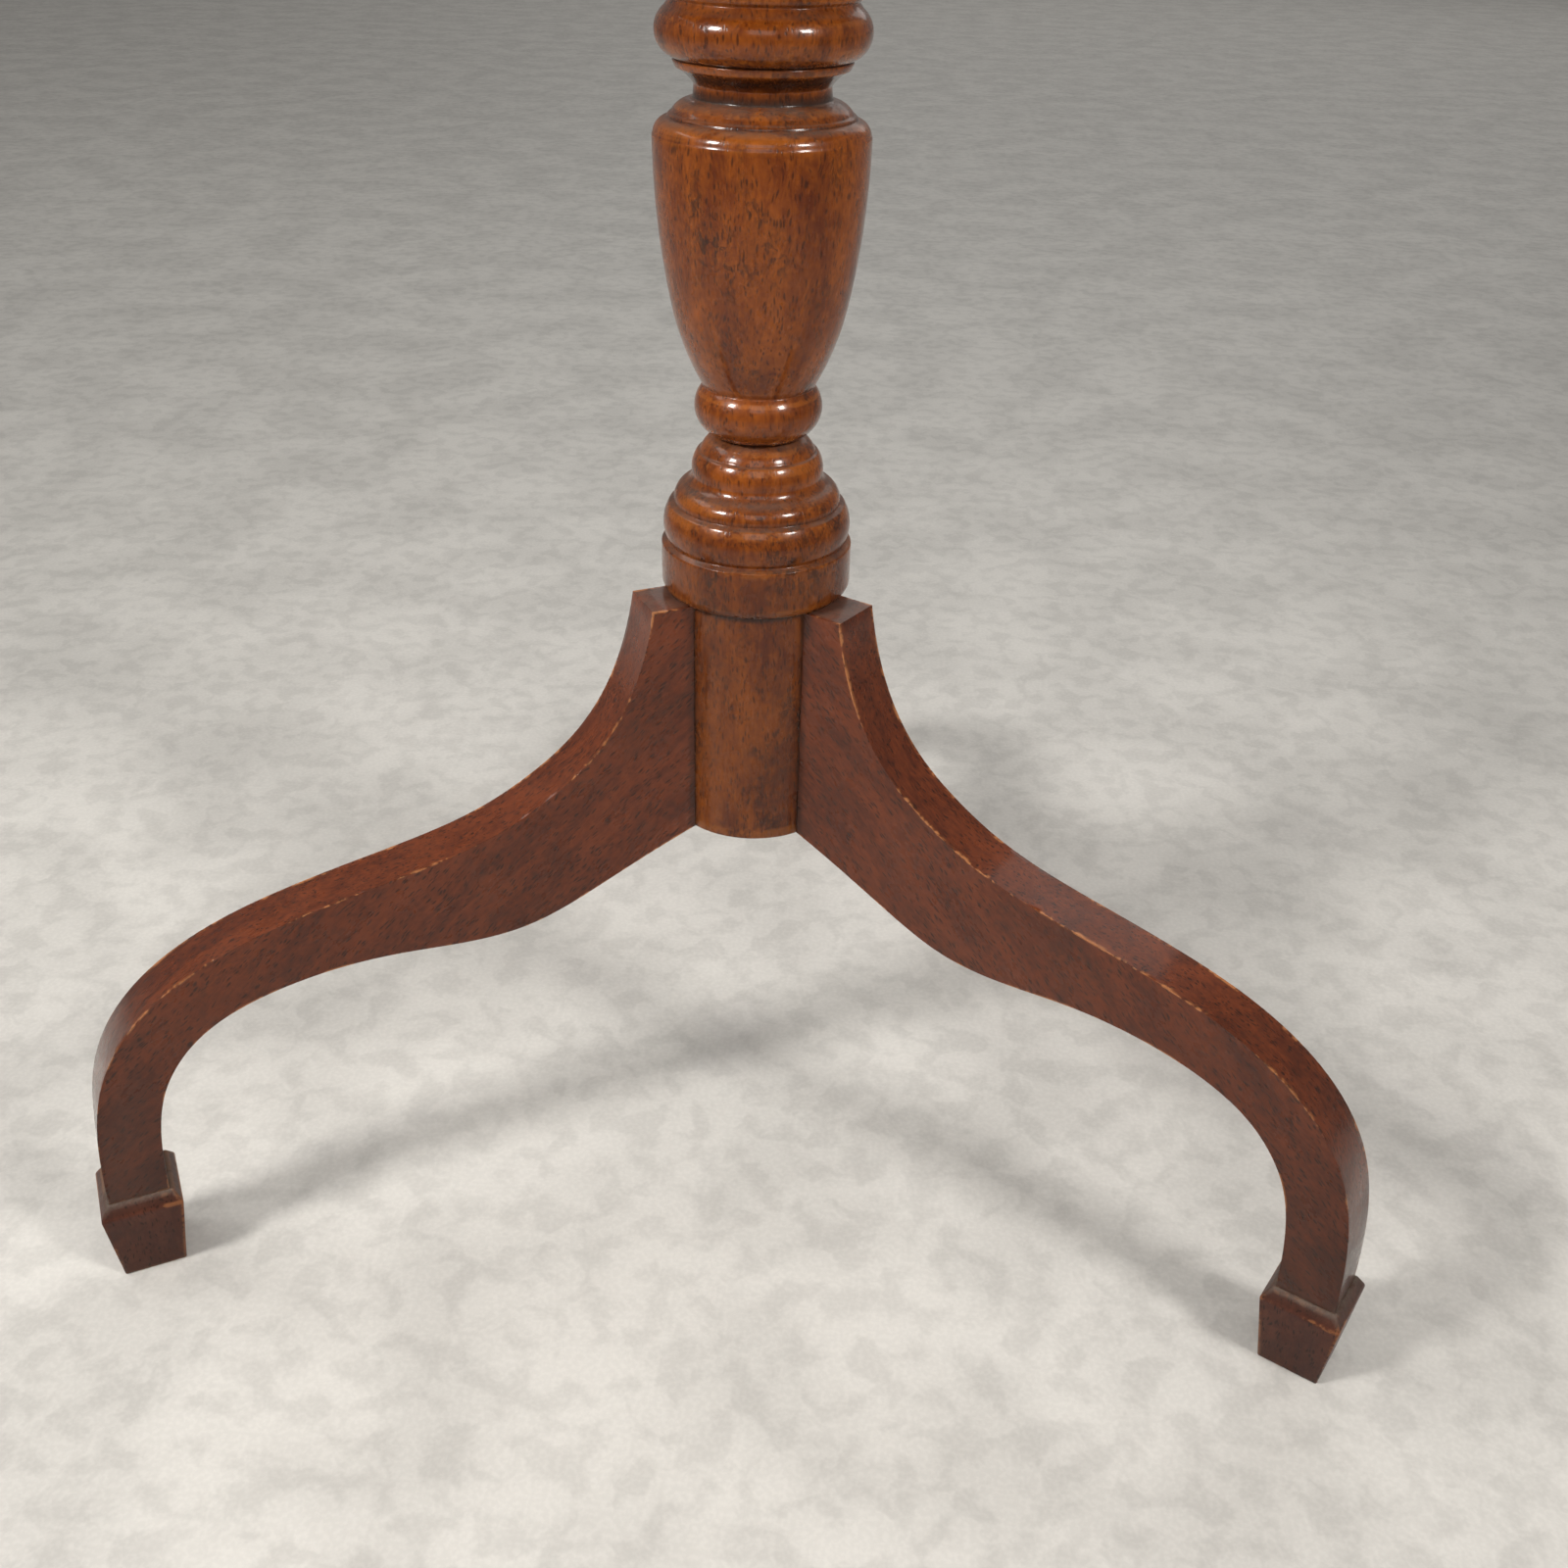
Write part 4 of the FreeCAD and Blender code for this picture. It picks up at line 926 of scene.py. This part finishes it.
    def beside_leg(self, place: Vector, leg_top: float) -> float:
        """How near a place on the drum is to the joint with a leg.

        Args:
            place: the place, in millimetres.
            leg_top: level of the legs' tops.

        Returns:
            More than 1 in the joint, less away from it, and 0 above the legs.
        """
        if place.z > leg_top:
            return 0.0
        nearest = 1e3
        for angle in self.leg_angles:
            along = Vector((math.cos(math.radians(angle)), math.sin(math.radians(angle))))
            if place.xy.dot(along) > 0:
                off = abs(place.x * along.y - place.y * along.x) - self.leg_thickness / 2
                nearest = min(nearest, abs(off))
        # Narrow: a dark joint line; broad: painted shade on the drum beside each leg.
        return max(1.25 - nearest / 2.0, 0.45 - nearest / 26.0)


def spline_points(handles: Sequence[tuple[float, float]], resolution: int) -> list[Vector]:
    """Points of an open cubic curve through its end handles.

    Args:
        handles: its handles in a plane.
        resolution: points per span.

    Returns:
        The points, in order.
    """
    curve = bpy.data.curves.new("outline", "CURVE")
    curve.dimensions = "3D"
    spline = curve.splines.new("NURBS")
    spline.points.add(len(handles) - 1)
    for point, (across, up) in zip(spline.points, handles):
        point.co = (across, up, 0.0, 1.0)
    spline.order_u = 4
    spline.use_endpoint_u = True
    curve.resolution_u = resolution
    carrier = bpy.data.objects.new("outline", curve)
    bpy.context.scene.collection.objects.link(carrier)
    bpy.context.view_layer.update()
    data = bpy.data.meshes.new_from_object(carrier)
    points = [vert.co.xy.copy() for vert in data.vertices]
    bpy.data.objects.remove(carrier)
    bpy.data.meshes.remove(data)
    bpy.data.curves.remove(curve)
    return points


@dataclass
class Leg:
    """A sabre leg, drawn along +X and turned to its angle.

    Args:
        name, angle: which leg it is, and its direction.
        drum_radius, thickness, foot_reach, foot_height: sizes shared with its neighbours.
        top_length, tuck: how far the shoulder stands out of the drum, and goes into it.
        upper, lower: the handles of its two curves, as shares of its reach and its rise.
        inner_rise: how far the leg's inner end stands above the drum's foot.
        arris, sharp_angle: rounding of its edges, and the least turn that is rounded.
        rows: cuts across its narrow faces, which carry the wear.
        joint_rows: cuts beside the drum, which carry the dark joint line.
        grain_slope: turn of the fibres from level.
        edge_reach, chip_depth: width and depth of the wear.
        shade_reach: how far up from the foot the leg's painted shade reaches.
    """

    name: str
    angle: float
    drum_radius: float = DRUM_RADIUS
    thickness: float = LEG_THICKNESS
    top_length: float = 15.7
    tuck: float = 6.3
    foot_reach: float = FOOT_REACH
    foot_height: float = FOOT_HEIGHT
    upper: tuple[tuple[float, float], ...] = (
        (0.0, 1.0), (0.03, 0.795), (0.205, 0.64), (0.38, 0.575),
        (0.745, 0.515), (0.96, 0.355), (1.0, 0.175), (1.0, 0.0))
    lower: tuple[tuple[float, float], ...] = (
        (0.0, 1.0), (0.165, 0.875), (0.325, 0.665), (0.585, 0.77),
        (0.84, 0.695), (0.96, 0.515), (1.0, 0.29), (1.0, 0.0))
    inner_rise: float = 1.2
    arris: float = 1.2
    sharp_angle: float = 30.0
    rows: int = 9
    joint_rows: tuple[float, ...] = (1.2, 2.6, 4.5)
    grain_slope: float = -42.0
    edge_reach: float = 1.0
    chip_depth: float = 0.45
    shade_reach: float = 125.0

    def curve(self, shares: Sequence[tuple[float, float]], inner: float, outer: float,
              top: float) -> list[Vector]:
        """One of the leg's two curves, from its shoulder to its foot.

        Args:
            shares: its handles, as shares of the reach and of the rise.
            inner, outer: where it starts and ends, out from the axis.
            top: level of its start.

        Returns:
            Its points, in millimetres.
        """
        handles = [(inner + (outer - inner) * out,
                    self.foot_height + (top - self.foot_height) * up) for out, up in shares]
        return spline_points(handles, 18)

    def build(self, material: bpy.types.Material) -> bpy.types.Object:
        """Saw, round and place the leg.

        Args:
            material: its finish.

        Returns:
            The piece.
        """
        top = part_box("leg_" + self.name)[1][2] / MM
        half = self.thickness / 2
        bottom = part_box("column")[0][2] / MM + self.inner_rise
        inner = self.drum_radius - self.tuck
        upper = self.curve(self.upper, self.drum_radius + self.top_length,
                           self.foot_reach + half, top)
        lower = self.curve(self.lower, inner, self.foot_reach - half, bottom)
        outline = [Vector((inner, top))] + upper + lower[::-1]
        mesh = bmesh.new()
        verts = [mesh.verts.new((point.x * MM, -half * MM, point.y * MM)) for point in outline]
        side = mesh.faces.new(verts)
        made = bmesh.ops.extrude_face_region(mesh, geom=[side])
        moved = [item for item in made["geom"] if isinstance(item, BMVert)]
        bmesh.ops.translate(mesh, verts=moved, vec=(0, self.thickness * MM, 0))
        bmesh.ops.recalc_face_normals(mesh, faces=mesh.faces)
        self.soften(mesh)
        self.chip(mesh)
        for out in self.joint_rows:
            bmesh.ops.bisect_plane(mesh, geom=mesh.verts[:] + mesh.edges[:] + mesh.faces[:],
                                   plane_co=((self.drum_radius + out) * MM, 0, 0),
                                   plane_no=(1, 0, 0))
        slope = Matrix.Rotation(math.radians(90.0 + self.grain_slope), 3, "Y")
        offset = Vector((0.0, 0.0, 0.7 * self.angle / 90.0))
        paint(mesh, lambda place: slope @ place + offset, self.edge, self.dust, self.smoke)
        bmesh.ops.rotate(mesh, verts=mesh.verts, cent=(0, 0, 0),
                         matrix=Matrix.Rotation(math.radians(self.angle), 3, "Z"))
        return finish_piece(f"sabre_leg_{self.name}", mesh, "pedestal",
                            material, 35.0, [f"leg_{self.name}"])

    def soften(self, mesh: BMesh) -> None:
        """Round the arrises, then give the faces rows to carry wear.

        Args:
            mesh: the sawn leg.
        """
        sharp = [edge for edge in mesh.edges if len(edge.link_faces) == 2
                 and edge.calc_face_angle(0.0) > math.radians(self.sharp_angle)
                 and min(vert.co.x for vert in edge.verts) > self.drum_radius * MM * 0.9]
        bmesh.ops.bevel(mesh, geom=sharp, offset=self.arris * MM, offset_type="OFFSET",
                        affect="EDGES", segments=3, profile=0.5, material=-1,
                        clamp_overlap=True)
        wide = [edge for edge in mesh.edges
                if abs(edge.verts[0].co.y - edge.verts[1].co.y) > self.thickness / 2 * MM]
        bmesh.ops.subdivide_edges(mesh, edges=wide, cuts=self.rows, use_grid_fill=False)
        sides = [face for face in mesh.faces if len(face.verts) > 40]
        bmesh.ops.inset_region(mesh, faces=sides, thickness=self.edge_reach * MM, depth=0.0,
                               use_even_offset=True)

    def chip(self, mesh: BMesh) -> None:
        """Press small worn places and nicks into the arrises.

        Args:
            mesh: the rounded leg.
        """
        middle = Vector((0.0, 0.0, 0.0))
        for vert in mesh.verts:
            if self.edge(vert) < 0.6:
                continue
            place = vert.co / MM
            rough = noise.noise(place * 0.11 + Vector((self.angle, 0, 0)))
            fine = noise.noise(place * 0.45 + Vector((0, self.angle, 0)))
            depth = max(0.0, rough + 0.15) * 0.35 + max(0.0, fine - 0.25) * 1.1
            middle.y = -math.copysign(1.0, vert.co.y)
            inward = (middle - vert.normal).normalized()
            vert.co += inward * min(depth, 1.0) * self.chip_depth * MM

    def edge(self, vert: BMVert) -> float:
        """How near a vertex is to the middle of a rounded long arris, 0 to 1."""
        tilt = math.degrees(math.asin(min(1.0, abs(vert.normal.y))))
        return 1.35 - abs(tilt - 45.0) / 26.0

    def dust(self, vert: BMVert) -> float:
        """How much grey dust a vertex holds on the shoulder and at the foot.

        Args:
            vert: the vertex.

        Returns:
            The dust; paint holds it between 0 and 1.
        """
        place = vert.co / MM
        on_top = 0.55 if vert.normal.z > 0.8 and place.x < 60.0 else 0.0
        at_foot = 0.7 - (place.z - self.foot_height) / 2.0
        return max(on_top, at_foot)

    def smoke(self, vert: BMVert) -> float:
        """How dark a vertex is: a dark joint line by the column, and painted shade towards the
        floor.

        Args:
            vert: the vertex.

        Returns:
            The darkness; paint holds it between 0 and 1.
        """
        place = vert.co / MM
        by_column = 1.2 - (place.xy.length - self.drum_radius) / 1.8
        # Painted shade: the leg's lower part darker, as if less lit.
        low = 0.6 * (1.0 - (place.z - self.foot_height) / self.shade_reach)
        return max(by_column, low)


@dataclass
class Foot:
    """A spade foot: it tapers to the floor and is bevelled in to its leg.

    Args:
        name, angle: which foot it is, and its direction.
        reach: distance of its middle from the axis.
        base_width, waist_width, neck_width: its width at the floor, the waist and the leg.
        waist_height, height: levels of its waist and its top.
        arris: rounding of its edges.
        ring: width of the rubbed band along them.
        flat_area: faces larger than this get the band, in square millimetres.
    """

    name: str
    angle: float
    reach: float = FOOT_REACH
    base_width: float = 26.0
    waist_width: float = 34.0
    waist_height: float = 36.5
    neck_width: float = 27.4
    height: float = FOOT_HEIGHT
    arris: float = 0.8
    ring: float = 1.8
    flat_area: float = 60.0

    def build(self, material: bpy.types.Material) -> bpy.types.Object:
        """Shape the foot.

        Args:
            material: its finish.

        Returns:
            The piece.
        """
        mesh = bmesh.new()
        half = self.base_width / 2 * MM
        corners = [(-half, -half), (half, -half), (half, half), (-half, half)]
        face = mesh.faces.new([mesh.verts.new((x, y, 0.0)) for x, y in corners])
        width = self.base_width
        for level, new_width in ((self.waist_height, self.waist_width),
                                 (self.height, self.neck_width)):
            made = bmesh.ops.extrude_face_region(mesh, geom=[face])
            face = next(item for item in made["geom"] if isinstance(item, BMFace))
            rise = level * MM - face.verts[0].co.z
            bmesh.ops.translate(mesh, verts=face.verts, vec=(0, 0, rise))
            share = new_width / width
            bmesh.ops.scale(mesh, verts=face.verts, vec=(share, share, 1.0))
            width = new_width
        inside = [item for item in mesh.faces
                  if all(abs(vert.co.z - self.waist_height * MM) < 1e-6 for vert in item.verts)]
        bmesh.ops.delete(mesh, geom=inside, context="FACES_ONLY")
        bmesh.ops.recalc_face_normals(mesh, faces=mesh.faces)
        bmesh.ops.bevel(mesh, geom=mesh.edges[:], offset=self.arris * MM, offset_type="OFFSET",
                        affect="EDGES", segments=3, profile=0.5, material=-1,
                        clamp_overlap=True)
        flats = [item for item in mesh.faces if item.calc_area() > self.flat_area * MM * MM]
        bmesh.ops.inset_individual(mesh, faces=flats, thickness=self.ring * MM, depth=0.0)
        offset = Vector((0.05, 0.02, 0.3 * self.angle / 90.0))
        paint(mesh, lambda place: place + offset, self.edge, self.dust, self.smoke)
        bmesh.ops.translate(mesh, verts=mesh.verts, vec=(self.reach * MM, 0, 0))
        bmesh.ops.rotate(mesh, verts=mesh.verts, cent=(0, 0, 0),
                         matrix=Matrix.Rotation(math.radians(self.angle), 3, "Z"))
        return finish_piece(f"spade_foot_{self.name}", mesh, "pedestal",
                            material, 40.0, [f"foot_{self.name}"])

    def edge(self, vert: BMVert) -> float:
        """How near a vertex is to one of the foot's arrises.

        Args:
            vert: the vertex.

        Returns:
            1 on an arris, and less away from it.
        """
        across, along, level = (abs(part) / MM for part in vert.co)
        share = level / self.waist_height
        half = (self.base_width + (self.waist_width - self.base_width) * share) / 2
        if level > self.waist_height + self.ring:
            half = self.neck_width / 2
        near = min(half - min(across, along), level, abs(level - self.waist_height))
        return 1.0 - near / self.ring

    def dust(self, vert: BMVert) -> float:
        """How much dust a vertex holds on the ledge round the leg, 0 to 1."""
        return 1.0 - (self.height - vert.co.z / MM) / 2.2

    def smoke(self, vert: BMVert) -> float:
        """How dark a vertex is on the bevel and at the floor, 0 to 1."""
        level = vert.co.z / MM
        return 0.3 if level > self.waist_height + 0.8 else 0.35 - level / 20.0


# --------------------------------------------------------------------- stage


@dataclass
class Studio:
    """A pale floor, five soft lamps, an even surround and the camera.

    Args:
        camera_place: metres from the middle of the table's footprint.
        camera_heading, camera_pitch, camera_roll: degrees to the left, down and round.
        lens: focal length in millimetres.
        floor_radius, floor_colour: the floor.
        aim: where the lamps point.
    """

    camera_place: tuple[float, float, float] = (0.0681, -0.6442, 0.5592)
    camera_heading: float = 4.755
    camera_pitch: float = 30.48
    camera_roll: float = 1.466
    lens: float = 37.06
    floor_radius: float = 14.0
    floor_colour: Colour = (0.60, 0.585, 0.555)
    aim: tuple[float, float, float] = (0.0, 0.0, 0.42)

    def build(self) -> None:
        """Set the stage."""
        self.floor()
        self.camera()
        self.world()
        self.lamp("key_left", -50.0, 33.0, 1.35, 0.25, 16.0, (1.0, 0.97, 0.93))
        self.lamp("key_right", 54.0, 33.0, 1.35, 0.25, 11.5, (1.0, 0.97, 0.93))
        self.lamp("front_fill", 4.0, 34.0, 2.6, 1.2, 9.0, (1.0, 0.98, 0.95))
        self.lamp("side_fill", -100.0, 48.0, 3.2, 1.6, 26.0, (1.0, 0.99, 0.96))
        self.lamp("back_wash", 172.0, 34.0, 8.0, 6.0, 100.0, (1.0, 0.99, 0.97))

    def floor(self) -> None:
        """A plain pale floor."""
        mesh = bmesh.new()
        bmesh.ops.create_circle(mesh, cap_ends=True, segments=96, radius=self.floor_radius)
        data = bpy.data.meshes.new("floor")
        mesh.to_mesh(data)
        mesh.free()
        material = bpy.data.materials.new("pale_floor")
        material.use_nodes = True
        bench = Bench(material.node_tree)
        shader = material.node_tree.nodes["Principled BSDF"]
        place = bench.put("ShaderNodeTexCoord").outputs["Object"]
        cloud = bench.noise(place, (11.0, 11.0, 11.0), 6.0, 0.3)
        patch = bench.step(bench.noise(place, (60.0, 60.0, 60.0), 8.0, 0.4), 0.44, 0.62)
        fleck = bench.step(bench.noise(place, (420.0, 420.0, 420.0), 3.0), 0.35, 0.6)
        mask = bench.math("ADD", bench.math("MULTIPLY", bench.step(cloud, 0.35, 0.65), 0.45),
                          bench.math("MULTIPLY", patch, 0.35))
        mask = bench.math("ADD", mask, bench.math("MULTIPLY", fleck, 0.2))
        darker = tuple(channel * 0.8 for channel in self.floor_colour)
        lighter = tuple(channel * 1.12 for channel in self.floor_colour)
        bench.feed(shader.inputs["Base Color"], bench.blend(mask, lighter, darker))
        shader.inputs["Roughness"].default_value = 0.55
        data.materials.append(material)
        floor = bpy.data.objects.new("floor", data)
        bpy.context.scene.collection.objects.link(floor)

    def camera(self) -> None:
        """The camera, in front of the table and looking down at it."""
        data = bpy.data.cameras.new("camera")
        data.lens = self.lens
        data.sensor_width = 36.0
        camera = bpy.data.objects.new("camera", data)
        turn = (Matrix.Rotation(math.radians(self.camera_heading), 4, "Z")
                @ Matrix.Rotation(math.radians(90.0 - self.camera_pitch), 4, "X")
                @ Matrix.Rotation(math.radians(self.camera_roll), 4, "Z"))
        camera.matrix_world = Matrix.Translation(self.camera_place) @ turn
        bpy.context.scene.collection.objects.link(camera)
        bpy.context.scene.camera = camera

    def world(self) -> None:
        """An even pale surround."""
        world = bpy.data.worlds.new("surround")
        world.use_nodes = True
        background = world.node_tree.nodes["Background"]
        background.inputs["Color"].default_value = (1.0, 0.97, 0.93, 1.0)
        background.inputs["Strength"].default_value = 0.2
        bpy.context.scene.world = world
        bpy.context.scene.view_settings.view_transform = "Standard"

    def lamp(self, name: str, azimuth: float, elevation: float, distance: float, size: float,
             power: float, colour: Colour) -> None:
        """An area lamp that faces the table.

        Args:
            name: its name.
            azimuth: degrees to the right of the front.
            elevation: degrees up from its aim.
            distance: metres from its aim.
            size: its side.
            power: watts.
            colour: its colour.
        """
        data = bpy.data.lights.new(name, "AREA")
        data.energy = power
        data.size = size
        data.color = colour
        lamp = bpy.data.objects.new(name, data)
        around, up = math.radians(azimuth), math.radians(elevation)
        direction = Vector((math.sin(around) * math.cos(up), -math.cos(around) * math.cos(up),
                            math.sin(up)))
        lamp.location = Vector(self.aim) + direction * distance
        lamp.rotation_euler = direction.to_track_quat("Z", "Y").to_euler()
        bpy.context.scene.collection.objects.link(lamp)


# ---------------------------------------------------------------------- main


def dress(names: Iterable[str], material: bpy.types.Material) -> None:
    """Give CAD nodes a finish.

    Args:
        names: the nodes.
        material: their finish.
    """
    for name in names:
        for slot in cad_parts[name].material_slots:
            slot.material = material
        LOG.info("%s: packed shape, finished in %s", name, material.name)


def main() -> None:
    """Build every piece, dress the CAD nodes and set the stage."""
    logging.basicConfig(level=logging.INFO, format="%(message)s")
    groups = Groups()
    # On the column the worn-edge colour lights the crests of the rings: partly worn polish,
    # partly a painted highlight.
    column_wood = Mahogany("column_wood", (0.25, 0.062, 0.006), (0.088, 0.0165, 0.003),
                           dust=(0.095, 0.078, 0.065), bump=0.32,
                           stain=(0.014, 0.008, 0.005), stain_amount=0.75, pore_amount=0.65,
                           bare=(0.38, 0.115, 0.016), wear_amount=0.35, gloss=0.2, dull=0.34)
    leg_wood = Mahogany("leg_wood", (0.155, 0.034, 0.0095), (0.062, 0.0135, 0.005),
                        stain_amount=0.3, wear_amount=0.7)
    foot_wood = Mahogany("foot_wood", (0.095, 0.028, 0.014), (0.05, 0.015, 0.009),
                         stain_amount=0.4, wear_amount=0.3, gloss=0.35, dull=0.55,
                         coat=0.25)
    boards = {
        "board_front": Mahogany("front_board_wood", (0.22, 0.054, 0.010), (0.08, 0.017, 0.005),
                                space=Space.ALONG_X),
        "board_centre": Mahogany("centre_board_wood", (0.20, 0.048, 0.009),
                                 (0.07, 0.015, 0.0045), space=Space.ALONG_X, shift=0.9),
        "board_back": Mahogany("back_board_wood", (0.23, 0.058, 0.0105),
                               (0.084, 0.018, 0.005), space=Space.ALONG_X, shift=1.7),
    }
    under_wood = Mahogany("under_wood", (0.17, 0.062, 0.03), (0.085, 0.032, 0.018),
                          gloss=0.5, dull=0.7, coat=0.05, space=Space.ALONG_Y)
    bare_wood = Mahogany("bare_wood", (0.42, 0.25, 0.12), (0.26, 0.14, 0.06),
                         gloss=0.5, dull=0.7, coat=0.0, space=Space.ALONG_X)
    column = column_wood.build(groups)
    legs = leg_wood.build(groups)
    feet = foot_wood.build(groups)
    under = under_wood.build(groups)
    bare = bare_wood.build(groups)
    brass = Metal("aged_brass", (0.60, 0.40, 0.15), (0.20, 0.12, 0.05)).build()
    steel = Metal("old_steel", (0.42, 0.40, 0.38), (0.16, 0.13, 0.11), 0.32, 0.55).build()
    Column().build(column)
    for name, angle in LEG_ANGLES.items():
        Leg(name, angle).build(legs)
        Foot(name, angle).build(feet)
    for name, wood in boards.items():
        dress((name,), wood.build(groups))
    dress(("top_block", "bearer_left", "bearer_right"), under)
    dress(("tenon_wedges", "pivot_dowel_left", "pivot_dowel_right"), bare)
    dress(("striker_plate", "latch_plate", "latch_case", "latch_bolt", "latch_knob"), brass)
    dress(("striker_screws", "bearer_screws", "latch_screws", "latch_spring"), steel)
    Studio().build()


if __name__ == "__main__":
    main()
